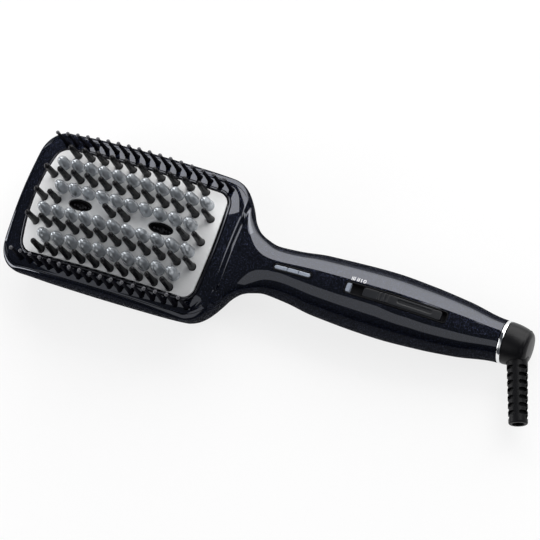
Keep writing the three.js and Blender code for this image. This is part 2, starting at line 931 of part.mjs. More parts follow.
const combHalfLength = ((combPins - 1) / 2) * combPitch;
const combRailDrop = wall + 3 * fitGap;

function combY(x) {
  return headHalfWidth - combInset - combBow * (x / combHalfLength) ** 2;
}

function combTop(x, y) {
  return dome(x, y) - stripDrop;
}

function combPlaces(side) {
  return Array.from({ length: combPins }, (_, i) => {
    const x = (i - (combPins - 1) / 2) * combPitch;
    return [x, side * combY(x)];
  });
}

// Under the housing's wall, a rail joins the pins of a comb.
function combRail(side) {
  const rings = [];
  for (let i = 0; i <= combRailSteps; i++) {
    const x = (combHalfLength + combEndMargin) * ((2 * i) / combRailSteps - 1);
    const y = side * combY(x);
    const corner = (dy, drop) => new THREE.Vector3(x, y + dy, combTop(x, y + dy) - drop);
    rings.push([
      corner(-combRailHalfWidth, combRailDrop + combRailThickness),
      corner(combRailHalfWidth, combRailDrop + combRailThickness),
      corner(combRailHalfWidth, combRailDrop),
      corner(-combRailHalfWidth, combRailDrop),
    ]);
  }
  return loft(rings);
}

function combPin(x, y) {
  const z = combTop(x, y);
  const topZ = z + combHeight;
  return loft([
    ringAt(x, y, z - combRailDrop - 0.5 * combRailThickness, combRailHalfWidth, combSides),
    ringAt(x, y, z, combFootRadius, combSides),
    ringAt(x, y, topZ - 2 * combBallRadius, combNeckRadius, combSides),
    ringAt(x, y, topZ - combBallRadius, combBallRadius, combSides),
    ringAt(x, y, topZ, 0.4 * combBallRadius, combSides),
  ]);
}

function combHoles(side) {
  const radius = combFootRadius + 1.5 * fitGap;
  return join(combPlaces(side).map(([x, y]) => sidedHole(x, y, radius, combSides)));
}

function sideComb(side) {
  return join([combRail(side), ...combPlaces(side).map(([x, y]) => combPin(x, y))]);
}

// Indicator window

function indicatorBezel() {
  const outside = prism(slotShape(windowStartX, windowEndX, windowHalfWidth), lampBoardZ, tall);
  const start = windowStartX + windowRim;
  const inside = prism(slotShape(start, windowEndX - windowRim, windowHalfWidth - windowRim), 0, tall);
  return outside.subtract(inside).intersect(windowSkin());
}

function indicatorLens() {
  const inset = windowRim + fitGap;
  const start = windowStartX + inset;
  const shape = slotShape(start, windowEndX - inset, windowHalfWidth - inset);
  return prism(shape, lampBoardZ, tall).intersect(windowSkin());
}

// A layer of the body's skin as deep as the window's pieces.
function windowSkin() {
  const deep = bodySolid(windowDepth, outerPlaces, outerDetail);
  return skinnedBody.subtract(deep);
}

const lampMiddle = (windowStartX + windowEndX) / 2;

function lampBoard() {
  const start = windowStartX - lampBoardMargin;
  const stop = windowEndX + lampBoardMargin;
  const topZ = lampBoardZ + lampBoardThickness;
  return box(start, stop, -lampBoardHalfWidth, lampBoardHalfWidth, lampBoardZ, topZ);
}

function statusLamp(index) {
  const x = lampMiddle + (index - 1) * lampPitch;
  const z = lampBoardZ + lampBoardThickness + fitGap;
  const half = lampHalfLength;
  return box(x - half, x + half, -lampHalfWidth, lampHalfWidth, z, z + lampHeight);
}

// Sliding switch

function slotFloorZ(x) {
  return buttonFloorZ + buttonSlope * (x - buttonStartX);
}

// Everything above the tilted line that the button slides on, moved up by rise.
function aboveSlotFloor(rise) {
  const x0 = slotStartX - 10;
  const x1 = slotEndX + 10;
  const shape = new THREE.Shape();
  shape.moveTo(x0, -slotFloorZ(x0) - rise);
  shape.lineTo(x0, -tall);
  shape.lineTo(x1, -tall);
  shape.lineTo(x1, -slotFloorZ(x1) - rise);
  const width = 4 * slotHalfWidth;
  const geometry = new THREE.ExtrudeGeometry(shape, { depth: width, bevelEnabled: false });
  geometry.translate(0, 0, -width / 2);
  geometry.rotateX(-Math.PI / 2);
  return solidOf(geometry);
}

const channelHalfWidth = slotHalfWidth - slotWall;
const buttonHalfWidth = channelHalfWidth - fitGap;
const stemX = (buttonStartX + buttonEndX) / 2;

function switchBezel() {
  const outside = prism(switchShape(0), 0, tall);
  const channel = prism(switchShape(slotWall), 0, tall);
  const stemStart = stemX - stemHalfLength - buttonTravel - fitGap;
  const stemStop = stemX + stemHalfLength + fitGap;
  const halfWidth = stemHalfWidth + fitGap;
  const stemSlot = box(stemStart, stemStop, -halfWidth, halfWidth, 0, tall);
  return outside
    .intersect(aboveSlotFloor(-slotFloor))
    .intersect(skinnedBody)
    .subtract(channel.intersect(aboveSlotFloor(0)))
    .subtract(stemSlot);
}

function clearEnd() {
  const start = slotStartX + slotWall + fitGap;
  const shape = switchShape(slotWall + fitGap);
  const keep = box(start, start + clearEndLength, -buttonHalfWidth, buttonHalfWidth, 0, tall);
  const blank = prism(shape, 0, tall).intersect(keep);
  return blank.intersect(aboveSlotFloor(fitGap)).intersect(skinnedBody);
}

function sliderButton() {
  const half = buttonHalfWidth;
  const shape = rectShape(buttonStartX, buttonEndX, -half, half, buttonCorner);
  const blank = prism(shape, 0, tall, 2).intersect(aboveSlotFloor(fitGap));
  const flush = blank.intersect(skinnedBody);
  const raised = bodySolid(-ridgeHeight, outerPlaces, outerDetail);
  const ridges = [0, 1, 2].map((i) => {
    const x = buttonStartX + ridgeStart + i * ridgePitch;
    const reach = half - fitGap;
    return box(x - ridgeHalfWidth, x + ridgeHalfWidth, -reach, reach, buttonFloorZ, tall);
  });
  const ridgePart = join(ridges).intersect(raised).intersect(blank);
  const footZ = switchTopZ - switchGrooveDepth + 3 * fitGap;
  const topZ = slotFloorZ(stemX) + 1;
  const start = stemX - stemHalfLength;
  const stop = stemX + stemHalfLength;
  const stem = box(start, stop, -stemHalfWidth, stemHalfWidth, footZ, topZ);
  return join([flush, ridgePart, stem]);
}

function slideSwitch() {
  const bottomZ = boardZ + boardThickness + fitGap;
  const start = stemX - stemHalfLength - buttonTravel - switchEnd;
  const stop = stemX + stemHalfLength + switchEnd;
  const grooveStart = start + switchEnd - 2 * fitGap;
  const grooveStop = stop - switchEnd + 2 * fitGap;
  const half = stemHalfWidth + fitGap;
  const grooveZ = switchTopZ - switchGrooveDepth;
  const groove = box(grooveStart, grooveStop, -half, half, grooveZ, tall);
  const body = box(start, stop, -switchHalfWidth, switchHalfWidth, bottomZ, switchTopZ);
  return body.subtract(groove);
}

function mainBoard() {
  const topZ = boardZ + boardThickness;
  return box(boardStartX, boardEndX, -boardHalfWidth, boardHalfWidth, boardZ, topZ);
}

function capacitor() {
  const z = boardZ + boardThickness + fitGap;
  return post(boardEndX - capacitorInset, 0, capacitorRadius, z, z + capacitorHeight);
}

function triac() {
  const z = boardZ + boardThickness + fitGap;
  const start = boardStartX + triacInset;
  const stop = start + triacLength;
  const half = triacTabHalfWidth;
  const tab = box(start, stop, -half, half, z + triacHeight / 2, z + triacTabTop);
  return box(start, stop, -triacHalfWidth, triacHalfWidth, z, z + triacHeight).add(tab);
}

function ionGenerator() {
  const z = wall + fitGap;
  const halfX = generatorHalfLength;
  const halfY = generatorHalfWidth;
  return box(-halfX, halfX, -halfY, halfY, z, z + generatorHeight);
}

function screw(x, y) {
  const z = screwZ(x);
  const neckZ = z + screwHeadHeight;
  const tipZ = screwTopZ(x) - fitGap;
  const profile = [
    [0, z],
    [screwHeadRadius, z],
    [screwHeadRadius, neckZ],
    [screwShankRadius, neckZ],
    [screwShankRadius, tipZ - 1],
    [0, tipZ],
  ];
  const bar = (halfX, halfY) => box(x - halfX, x + halfX, y - halfY, y + halfY, 0, z + crossDepth);
  const cross = [bar(crossHalfLength, crossHalfWidth), bar(crossHalfWidth, crossHalfLength)];
  return turned(profile, postSides, x, y).subtract(join(cross));
}

// Cord end

const ringStartX = handleEndX + fitGap;
const capStartX = ringStartX + ringWidth + fitGap;
const turnSides = 20;

function endRing() {
  const stop = ringStartX + ringWidth;
  const radius = handleEndRadius + 0.1;
  const profile = [
    [ringStartX, ringBore],
    [ringStartX, radius - 0.3],
    [ringStartX + 0.3, radius],
    [stop - 0.3, radius],
    [stop, radius - 0.3],
    [stop, ringBore],
    [ringStartX, ringBore],
  ];
  return turnedAlongX(profile, turnSides);
}

function swivelBush() {
  const inner = coreRadius + fitGap;
  const outer = inner + bushWall;
  const flangeX = handleEndX - endWall - fitGap;
  const start = flangeX - bushFlange;
  const profile = [
    [start, inner],
    [start, outer + bushRim],
    [flangeX, outer + bushRim],
    [flangeX, outer],
    [handleEndX - 0.2, outer],
    [handleEndX - 0.2, inner],
    [start, inner],
  ];
  return turnedAlongX(profile, turnSides);
}

const coreStartX = contactX + 0.5;
const coreFlangeX = capStartX + 0.2;

function swivelCore() {
  const stop = coreFlangeX + coreFlange;
  const rim = capEndRadius - 0.9 * capWall;
  const profile = [
    [coreStartX, coreBore],
    [coreStartX, coreRadius],
    [coreFlangeX, coreRadius],
    [coreFlangeX, rim],
    [stop, rim],
    [stop, coreBore],
    [coreStartX, coreBore],
  ];
  return turnedAlongX(profile, turnSides);
}

function slipRing() {
  const inner = coreRadius + fitGap;
  const start = coreStartX + 0.5;
  const stop = handleEndX - endWall - bushFlange - 3 * fitGap;
  const profile = [
    [start, inner],
    [start, inner + slipRingWall],
    [stop, inner + slipRingWall],
    [stop, inner],
    [start, inner],
  ];
  return turnedAlongX(profile, turnSides);
}

function contactBlock() {
  const start = contactX + contactGap;
  const stop = contactX + contactLength - contactGap;
  const topZ = handleEndZ - coreRadius - slipRingWall - 3 * fitGap;
  return box(start, stop, -contactHalfWidth, contactHalfWidth, contactZ, topZ);
}

// A solid on the strain relief's own axis (local +X outwards) turned into place.
function alongRelief(solid) {
  const turn = solid.rotate([0, 0, -90 + reliefAngle]);
  return turn.translate([reliefX, 0, handleEndZ]);
}

function reliefTurned(profile, sides) {
  const points = profile.map(([x, radius]) => new THREE.Vector2(radius, x));
  const geometry = new THREE.LatheGeometry(points, sides);
  geometry.rotateZ(-Math.PI / 2);
  return solidOf(geometry);
}

function swivelCap() {
  const outerRadius = handleEndRadius - 0.1;
  const tipX = capStartX + capLength;
  const profile = [
    [tipX - capWall, 0],
    [tipX - capWall - 1.4, 5],
    [tipX - capWall - 4, capEndRadius - capWall],
    [capStartX + 3, capEndRadius - 0.8],
    [capStartX, capEndRadius - 0.8],
    [capStartX, outerRadius],
    [capStartX + 4, outerRadius - 0.3],
    [capStartX + 8, outerRadius - 1.1],
    [tipX - 2.4, capEndRadius],
    [tipX - 0.9, capEndRadius - 0.9],
    [tipX - 0.3, 0.75 * capEndRadius],
    [tipX, 0],
  ];
  const radius = reliefRootRadius + fitGap;
  const start = reliefStart - fitGap;
  const hole = reliefTurned([[start, 0], [start, radius], [reliefEnd, radius], [reliefEnd, 0]], turnSides);
  return turnedAlongX(profile, turnSides).subtract(alongRelief(hole));
}

// Slots of the strain relief: pairs at the front and back, and single ones at the sides
// half a pitch further on, each as wide as the angle that it spans.
function reliefCuts() {
  const cuts = [];
  const halfX = reliefSlotHalfLength;
  const halfY = reliefSlotHalfWidth;
  const inner = reliefEndRadius - reliefSlotDepth;
  for (let i = 0; i < reliefSlots; i++) {
    const families = [
      { x: reliefFirstSlot + i * reliefSlotPitch, angles: [45, 135, 225, 315] },
      { x: reliefFirstSlot + (i + 0.5) * reliefSlotPitch, angles: [90, 270] },
    ];
    for (const { x, angles } of families) {
      for (const angle of angles) {
        const block = box(x - halfX, x + halfX, -halfY, halfY, inner, inner + reliefEndRadius);
        cuts.push(block.rotate([angle, 0, 0]));
      }
    }
  }
  return join(cuts);
}

function strainRelief() {
  const profile = [
    [reliefStart, 0],
    [reliefStart, reliefRootRadius],
    [reliefFirstSlot - 1.5, reliefRootRadius],
    [reliefEnd - 0.8, reliefEndRadius],
    [reliefEnd, reliefEndRadius - 0.8],
    [reliefEnd, cordHoleRadius],
    [reliefEnd - cordHoleDepth, cordHoleRadius],
    [reliefEnd - cordHoleDepth, 0],
  ];
  return alongRelief(reliefTurned(profile, 12).subtract(reliefCuts()));
}

// Materials

function material(color, roughness, metalness = 0, extra = {}) {
  return new THREE.MeshStandardMaterial({ color, roughness, metalness, ...extra });
}

const glossHousing = material(0x0b0d18, 0.16);
const satinBlack = material(0x141416, 0.5);
const pinBlack = material(0x101113, 0.55);
const brushedMetal = material(0xc4c7c9, 0.32, 0.9);
const combGrey = material(0x3a3b40, 0.5);
const chrome = material(0xe2e3e5, 0.08, 1);
const clearGrey = material(0xb8c4d2, 0.15, 0, { transparent: true, opacity: 0.7 });
const buttonGrey = material(0x232428, 0.4);
const heatPlastic = material(0x5b4a3a, 0.7);
const ceramic = material(0xe6e2d6, 0.6);
const boardGreen = material(0x1c5a34, 0.5);
const metalPart = material(0x9a9ca0, 0.35, 0.9);
const mouldedPart = material(0x2b2d31, 0.6);
const lampWhite = material(0xf2f0e6, 0.3);

// Assembly

const part = new THREE.Group();
part.name = "heated_smoothing_brush";

function place(name, solid, look) {
  const mesh = new THREE.Mesh(geometryOf(solid), look);
  mesh.name = name;
  part.add(mesh);
}

place("front_housing", frontHousing(), glossHousing);
place("rear_housing", rearHousing(), glossHousing);
place("heating_plate", heatingPlate(), brushedMetal);
place("plate_surround", plateSurround(), glossHousing);
pinRows.forEach((row, i) => place(`pin_strip_${i + 1}`, pinStrip(rowPins(row)), pinBlack));
centreGroups.forEach((group) =>
  place(`pin_strip_centre_${group.name}`, pinStrip(centrePins(group)), pinBlack),
);
for (const [name, side] of [["left", -1], ["right", 1]]) {
  place(`side_comb_${name}`, sideComb(side), combGrey);
  place(`ceramic_heater_${name}`, ceramicHeater(side), ceramic);
}
for (const [name, side] of [["front", -1], ["rear", 1]]) {
  place(`ion_outlet_${name}`, ionOutlet(side), pinBlack);
  place(`ion_needle_${name}`, ionNeedle(side), metalPart);
}
place("heater_carrier", heaterCarrier(), heatPlastic);
place("thermal_fuse", thermalFuse(), metalPart);
place("temperature_sensor", temperatureSensor(), mouldedPart);
place("heat_shield", heatShield(), metalPart);
place("ion_generator", ionGenerator(), mouldedPart);
place("indicator_bezel", indicatorBezel(), satinBlack);
place("indicator_lens", indicatorLens(), clearGrey);
place("lamp_board", lampBoard(), boardGreen);
for (const index of [0, 1, 2]) {
  place(`status_lamp_${index + 1}`, statusLamp(index), lampWhite);
}
place("switch_bezel", switchBezel(), satinBlack);
place("switch_clear_end", clearEnd(), clearGrey);
place("slider_button", sliderButton(), buttonGrey);
place("slide_switch", slideSwitch(), mouldedPart);
place("main_board", mainBoard(), boardGreen);
place("capacitor", capacitor(), mouldedPart);
place("triac", triac(), mouldedPart);
headScrews.forEach(([x, y], i) => place(`head_screw_${i + 1}`, screw(x, y), metalPart));
handleScrews.forEach(([x, y], i) => place(`handle_screw_${i + 1}`, screw(x, y), metalPart));
place("end_ring", endRing(), chrome);
place("swivel_bush", swivelBush(), mouldedPart);
place("contact_block", contactBlock(), mouldedPart);
place("swivel_core", swivelCore(), mouldedPart);
place("slip_ring", slipRing(), metalPart);
place("swivel_cap", swivelCap(), satinBlack);
place("strain_relief", strainRelief(), satinBlack);

// The part's origin is under the middle of its box.
const bounds = new THREE.Box3().setFromObject(part);
part.position.set(-(bounds.min.x + bounds.max.x) / 2, 0, -bounds.min.z);

export default part;
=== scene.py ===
# Looks of the heated smoothing brush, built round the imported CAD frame.
# Sizes are millimetres in the CAD's building frame (x = 0 at the middle of the heating plate,
# z = 0 where the brush lies) and become metres in mesh_object.
import math

import bmesh
import bpy
from mathutils import Matrix, Vector
from mathutils.bvhtree import BVHTree
from mathutils.interpolate import poly_3d_calc


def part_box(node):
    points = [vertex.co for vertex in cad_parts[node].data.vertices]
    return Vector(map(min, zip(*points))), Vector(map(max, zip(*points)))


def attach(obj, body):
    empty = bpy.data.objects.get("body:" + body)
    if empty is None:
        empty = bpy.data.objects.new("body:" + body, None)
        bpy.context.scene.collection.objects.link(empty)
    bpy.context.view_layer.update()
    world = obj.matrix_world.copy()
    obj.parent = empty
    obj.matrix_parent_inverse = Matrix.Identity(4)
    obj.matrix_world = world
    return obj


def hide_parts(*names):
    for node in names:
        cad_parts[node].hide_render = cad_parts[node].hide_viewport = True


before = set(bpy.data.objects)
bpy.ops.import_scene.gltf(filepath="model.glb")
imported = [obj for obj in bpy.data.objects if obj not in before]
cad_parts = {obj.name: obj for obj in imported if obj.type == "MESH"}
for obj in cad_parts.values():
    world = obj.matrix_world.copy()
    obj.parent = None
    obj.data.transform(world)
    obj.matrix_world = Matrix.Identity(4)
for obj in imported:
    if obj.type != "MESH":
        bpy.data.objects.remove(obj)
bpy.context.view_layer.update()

MM = 0.001
plate_low, plate_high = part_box("heating_plate")
ORIGIN_X = (plate_low[0] + plate_high[0]) / 2

# Driving sizes, the same as the CAD's
FIT_GAP = 0.3
WALL = 2.2
PLATE_TOP = 40
DOME_X = 243.6
DOME_Y = 96.2
HEAD_END_X = -64
HEAD_HALF_WIDTH = 41.97
HEAD_CORNER = 13
HEAD_END_BOW = 0.9
HEAD_SIDE_BOW = 1
HEAD_WIDEST_Z = 25.5
CREASE_INSET = 3.2
STRIP_DROP = 0.7
HEAD_EDGE = 4.6
HEAD_END_ROUNDING = 2.2
HEAD_BACK = 15
SHOULDER_X = 57.5
NECK_X = 84
NECK_HALF_WIDTH = 13.3
GRIP_X = 149
GRIP_HALF_WIDTH = 18
GRIP_TOP = 31.8
HANDLE_END_X = 212.8
HANDLE_END_RADIUS = 11.3
HANDLE_END_Z = 12.6
PLATE_HALF_LENGTH = 52.8
PLATE_HALF_WIDTH = 30
PLATE_CORNER = 5.5
PLATE_BOW = 2.6
PLATE_THICKNESS = 1.2
SURROUND_GAP = 0.8
SURROUND_WIDTH = 1.5
PIN_PITCH = 8.5
ROW_STEP = 6.87
PIN_HEIGHT = 14.6
PIN_BASE = 2
PIN_TIP = 1.55
RAIL_HALF_WIDTH = 1.3
RAIL_THICKNESS = 3
STUD_RADIUS = 3.1
STUD_HEIGHT = 10.4
STUD_SHIFT = 0.6
COMB_PINS = 17
COMB_PITCH = 6.2
COMB_INSET = 5.8
COMB_BOW = 2.1
COMB_HEIGHT = 17.4
COMB_FOOT = 1.3
COMB_NECK = 0.8
COMB_BALL = 1.05
COMB_RAIL = 1
COMB_RAIL_DROP = 3.1
COMB_RAIL_THICKNESS = 2
OUTLET_X = 24
OUTLET_Y = 0.3
OUTLET_HALF_LENGTH = 7.2
OUTLET_HALF_WIDTH = 3.3
OUTLET_DEPTH = 3.4
WINDOW_START = 87.3
WINDOW_END = 110
WINDOW_HALF = 2
WINDOW_RIM = 0.7
WINDOW_DEPTH = 2
SLOT_START = 128.4
SLOT_END = 184.5
SLOT_HALF = 3.3
SLOT_WALL = 0.5
SLOT_CORNER = 1.7
CLEAR_END = 2.6
BUTTON_START = 138.8
BUTTON_END = 181.4
BUTTON_SLOPE = -0.105
BUTTON_FLOOR_Z = 28.6
CORD_BORE = 6.8
HEAD_SCREW_X = 40
HEAD_SCREW_Y = 20
HANDLE_SCREW_PLACES = (76.5, 195)
SCREW_SINK = 1
SCREW_HEAD_RADIUS = 2.7
SCREW_HEAD_HEIGHT = 1.8
SCREW_SHANK = 1.2
SCREW_CROSS_REACH = 1.6
SCREW_CROSS_HALF = 0.4
SCREW_CROSS_DEPTH = 0.7

# Slack that keeps the finer shapes inside the CAD's box, and a height above everything
BOX_MARGIN = 0.03
TALL = 60

# Mesh helpers


def new_object(name, data):
    obj = bpy.data.objects.new(name, data)
    bpy.context.collection.objects.link(obj)
    return obj


def mesh_object(name, points, faces):
    """An object from points in millimetres."""
    mesh = bpy.data.meshes.new(name)
    placed = [(x * MM + ORIGIN_X, y * MM, z * MM) for x, y, z in points]
    mesh.from_pydata(placed, [], faces)
    mesh.validate()
    mesh.shade_smooth()
    return new_object(name, mesh)


def face_out(obj):
    """Turns every face of a closed mesh outwards."""
    work = bmesh.new()
    work.from_mesh(obj.data)
    bmesh.ops.recalc_face_normals(work, faces=work.faces)
    work.to_mesh(obj.data)
    work.free()


def sharpen(obj, degrees):
    """Smooth shading that breaks at edges sharper than an angle."""
    obj.data.shade_smooth()
    obj.data.set_sharp_from_angle(angle=math.radians(degrees))


def solid(name, shape, degrees=None):
    """An object from points and faces that faces out, with sharp edges past an angle if given."""
    obj = mesh_object(name, *shape)
    face_out(obj)
    if degrees:
        sharpen(obj, degrees)
    return obj


def loft(rings):
    """Points and faces of a closed skin over rings of as many points each."""
    points, faces = loop_loft(rings)
    count = len(rings[0])
    faces = faces[:-count]
    faces.append(tuple(reversed(range(count))))
    faces.append(tuple(range(len(points) - count, len(points))))
    return points, faces


def loop_loft(rings):
    """A skin over rings that run round and meet themselves."""
    count = len(rings[0])
    total = len(rings) * count
    points = [p for ring in rings for p in ring]
    faces = []
    for start in range(0, total, count):
        for j in range(count):
            a = start + j
            b = start + (j + 1) % count
            faces.append((a, b, (b + count) % total, (a + count) % total))
    return points, faces


def merge(parts):
    """Joins lists of points and faces into one."""
    points = []
    faces = []
    for more_points, more_faces in parts:
        start = len(points)
        points.extend(more_points)
        faces.extend(tuple(i + start for i in face) for face in more_faces)
    return points, faces


def circle(radius, sides):
    """Points round a circle, from which rings are placed."""
    turns = [2 * math.pi * i / sides for i in range(sides)]
    return [(radius * math.cos(a), radius * math.sin(a)) for a in turns]


def ring_at(x, y, z, radius, sides):
    return [(x + dx, y + dy, z) for dx, dy in circle(radius, sides)]


def turned(profile, sides, x, y):
    """A solid turned about a vertical axis from (radius, z) points, bottom to top."""
    return loft([ring_at(x, y, z, radius, sides) for radius, z in profile])


def turned_along_x(profile, sides):
    """Rings turned about the cord end's axis from (x, radius) points."""
    return [[(x, y, HANDLE_END_Z + z) for y, z in circle(radius, sides)] for x, radius in profile]


def prism(outline, bottom, top):
    return loft([[(x, y, z) for x, y in outline] for z in (bottom, top)])


def remove(obj):
    mesh = obj.data
    bpy.data.objects.remove(obj)
    bpy.data.meshes.remove(mesh)


def boolean(obj, tool, operation):
    """Cuts or joins obj with another object's solid, which goes, and leaves a plain mesh."""
    modifier = obj.modifiers.new("cut", "BOOLEAN")
    modifier.operation = operation
    modifier.solver = "MANIFOLD"
    modifier.object = tool
    depsgraph = bpy.context.evaluated_depsgraph_get()
    result = bpy.data.meshes.new_from_object(obj.evaluated_get(depsgraph))
    obj.modifiers.clear()
    old = obj.data
    obj.data = result
    bpy.data.meshes.remove(old)
    remove(tool)


def cut(obj, *parts):
    """Cuts solids that don't touch each other out of an object, all at once."""
    boolean(obj, solid("cutter", merge(parts)), "DIFFERENCE")


# Surfaces of the body, as in the CAD but with finer steps


def dome(x, y):
    return PLATE_TOP - x**2 / (2 * DOME_X) - y**2 / (2 * DOME_Y)


def curve_through(points):
    """A smooth curve through (x, value) points that never overshoots them."""
    slopes = [0.0] * len(points)
    for i in range(1, len(points) - 1):
        (x0, v0), (x1, v1), (x2, v2) = points[i - 1 : i + 2]
        before = (v1 - v0) / (x1 - x0)
        after = (v2 - v1) / (x2 - x1)
        if before * after > 0:
            slopes[i] = 2 * before * after / (before + after)

    def value(x):
        if x <= points[0][0]:
            return points[0][1]
        if x >= points[-1][0]:
            return points[-1][1]
        i = next(k for k, p in enumerate(points) if p[0] >= x)
        (x0, v0), (x1, v1) = points[i - 1 : i + 1]
        span = x1 - x0
        t = (x - x0) / span
        rise = (3 - 2 * t) * t * t
        start = t * (1 - t) ** 2 * span * slopes[i - 1]
        stop = t * t * (t - 1) * span * slopes[i]
        return v0 + (v1 - v0) * rise + start + stop

    return value


side_width = curve_through([
    (HEAD_END_X + HEAD_CORNER, HEAD_HALF_WIDTH - HEAD_SIDE_BOW),
    (-32, HEAD_HALF_WIDTH - 0.3),
    (0, HEAD_HALF_WIDTH),
    (32, HEAD_HALF_WIDTH - 0.3),
    (SHOULDER_X - 9, HEAD_HALF_WIDTH - HEAD_SIDE_BOW),
    (SHOULDER_X - 4, HEAD_HALF_WIDTH - 2.4),
    (SHOULDER_X, HEAD_HALF_WIDTH - 5),
    (SHOULDER_X + 3, HEAD_HALF_WIDTH - 8.5),
    (SHOULDER_X + 5.3, NECK_HALF_WIDTH + 16.6),
    (SHOULDER_X + 8, NECK_HALF_WIDTH + 11.5),
    (SHOULDER_X + 11.5, NECK_HALF_WIDTH + 6.8),
    (SHOULDER_X + 14.5, NECK_HALF_WIDTH + 4),
    (SHOULDER_X + 18.5, NECK_HALF_WIDTH + 2),
    (NECK_X, NECK_HALF_WIDTH),
    (NECK_X + 12, NECK_HALF_WIDTH + 0.8),
    (112, GRIP_HALF_WIDTH - 1.6),
    (GRIP_X, GRIP_HALF_WIDTH),
    (170, GRIP_HALF_WIDTH - 1),
    (191, GRIP_HALF_WIDTH - 3.2),
    (HANDLE_END_X, HANDLE_END_RADIUS),
])
widest_z = curve_through([
    (HEAD_END_X, HEAD_WIDEST_Z - 1.5),
    (-32, HEAD_WIDEST_Z),
    (SHOULDER_X, HEAD_WIDEST_Z),
    (NECK_X - 8, 21.8),
    (NECK_X + 12, 19),
    (128, 16.6),
    (GRIP_X, GRIP_TOP - 16),
    (191, 13.3),
    (HANDLE_END_X, HANDLE_END_Z),
])
spine_z = curve_through([
    (SHOULDER_X + 4, dome(SHOULDER_X + 4, 0) - 3.2),
    (SHOULDER_X + 13, 28.6),
    (NECK_X - 2, 29.8),
    (100, 31.9),
    (114, GRIP_TOP + 0.4),
    (132, GRIP_TOP + 0.1),
    (GRIP_X, GRIP_TOP),
    (165, GRIP_TOP - 1.8),
    (181, GRIP_TOP - 4.3),
    (196, GRIP_TOP - 6.2),
    (HANDLE_END_X, HANDLE_END_Z + HANDLE_END_RADIUS),
])
underside_z = curve_through([
    (SHOULDER_X - 16, 0),
    (SHOULDER_X + 5, 4.4),
    (NECK_X - 6, 6.8),
    (NECK_X + 8, 6.5),
    (112, 3.2),
    (135, 0.2),
    (GRIP_X, 0),
    (180, 0.3),
    (HANDLE_END_X, HANDLE_END_Z - HANDLE_END_RADIUS),
])


def handle_share(x):
    """0 on the head, 1 on the handle."""
    t = min(1, max(0, (x - SHOULDER_X + 9) / (NECK_X - 2 - SHOULDER_X + 9)))
    return t * t * (3 - 2 * t)


def mix(a, b, t):
    return a + (b - a) * t


def section_parts(x, width, inset):
    """Heights, widths and roundness of the body's section at a place along the brush."""
    share = handle_share(x)
    head_top = dome(x, 0) - STRIP_DROP
    far = x >= SHOULDER_X + 4
    top = (spine_z(x) if far else head_top) - inset
    middle = widest_z(x)
    end_gap = max(0, x - (HEAD_END_X + inset))
    top_scale = math.sqrt(1 - (1 - min(1, end_gap / HEAD_END_ROUNDING)) ** 2)
    back_scale = math.sqrt(1 - (1 - min(1, end_gap / HEAD_BACK)) ** 2)
    edge = mix(min(HEAD_EDGE, 0.5 * width), 0.93 * width, share)
    back = mix(min(HEAD_BACK, 0.8 * width), 0.9 * width, share)
    crown = (1 - share) / (2 * DOME_Y)
    return top, middle, edge, back, crown, top_scale, back_scale


def top_surface(x, y, inset=0.0):
    """Height of the body's upper skin over a point."""
    width = side_width(x) - inset
    top, middle, edge, _, crown, _, _ = section_parts(x, width, inset)
    y = abs(y)
    if y <= width - edge:
        return top - crown * y * y
    shoulder = top - crown * (width - edge) ** 2
    across = min(1, (y - (width - edge)) / edge)
    return middle + (shoulder - middle) * math.sqrt(1 - across**2)


def half_section(x, width, inset, detail):
    """(y, z) points of a section's half, from the middle of its top to that of its underside."""
    top, middle, edge, back, crown, top_scale, back_scale = section_parts(x, width, inset)
    shoulder = (top - crown * (width - edge) ** 2 - middle) * top_scale
    depth = (middle - underside_z(x) - inset) * back_scale
    flat_steps, edge_steps, back_steps, under_steps = detail
    points = []
    for i in range(flat_steps):
        y = i / flat_steps * (width - edge)
        points.append((y, middle + (top - crown * y * y - middle) * top_scale))
    for up, out in arc(0, 0, 1, 0, 1, edge_steps, 0):
        points.append((width - edge + edge * out, middle + shoulder * up))
    for out, down in arc(0, 0, 1, 0, 1, back_steps):
        points.append((width - back + back * out, middle - depth * down))
    for i in range(1, under_steps + 1):
        points.append((mix(width - back, 0, i / under_steps), middle - depth))
    return points


def stations(inset, step, end_x, end_steps=12, corner_steps=22):
    """(x, half width) of the sections: the blunt end, its corners, then along the brush."""
    radius = HEAD_CORNER - inset
    corner_y = HEAD_HALF_WIDTH - HEAD_SIDE_BOW - HEAD_CORNER
    places = []
    for i in range(1, end_steps):
        share = i / end_steps
        places.append((HEAD_END_X + inset + HEAD_END_BOW * share**2, share * corner_y))
    for i in range(corner_steps):
        angle = (i + 0.3) / corner_steps * math.pi / 2
        across = (1 - math.cos(angle)) * (radius - HEAD_END_BOW)
        x = HEAD_END_X + inset + HEAD_END_BOW + across
        places.append((x, corner_y + radius * math.sin(angle)))
    x = HEAD_END_X + HEAD_CORNER + step
    while x < end_x - step / 2:
        places.append((x, side_width(x) - inset))
        x += step
    places.append((end_x, side_width(end_x) - inset))
    return places


def body_solid(name, inset, step, end_x, detail):
    """The body, or its hollow at an inset, from sections along the brush."""
    rings = []
    start = HEAD_END_X + inset + BOX_MARGIN
    for x, width in stations(inset, step, end_x):
        half = half_section(x, width, inset, detail)
        right = [(max(x, start), y, max(z, inset)) for y, z in half]
        left = [(px, -y, z) for px, y, z in right[1:-1]]
        rings.append(left + right[::-1])
    return solid(name, loft(rings))


# Normals


def polish(obj, normal_at, limit=0.8):
    """Gives faces that lie on a smooth surface that surface's own normals; others stay flat."""
    mesh = obj.data
    normals = [Vector((0, 0, 0))] * len(mesh.loops)
    known = {}
    for face in mesh.polygons:
        for corner in face.loop_indices:
            index = mesh.loops[corner].vertex_index
            if index not in known:
                known[index] = normal_at(mesh.vertices[index].co)
            smooth = known[index]
            fits = smooth is not None and smooth.dot(face.normal) > limit
            normals[corner] = smooth if fits else face.normal
    mesh.normals_split_custom_set(normals)


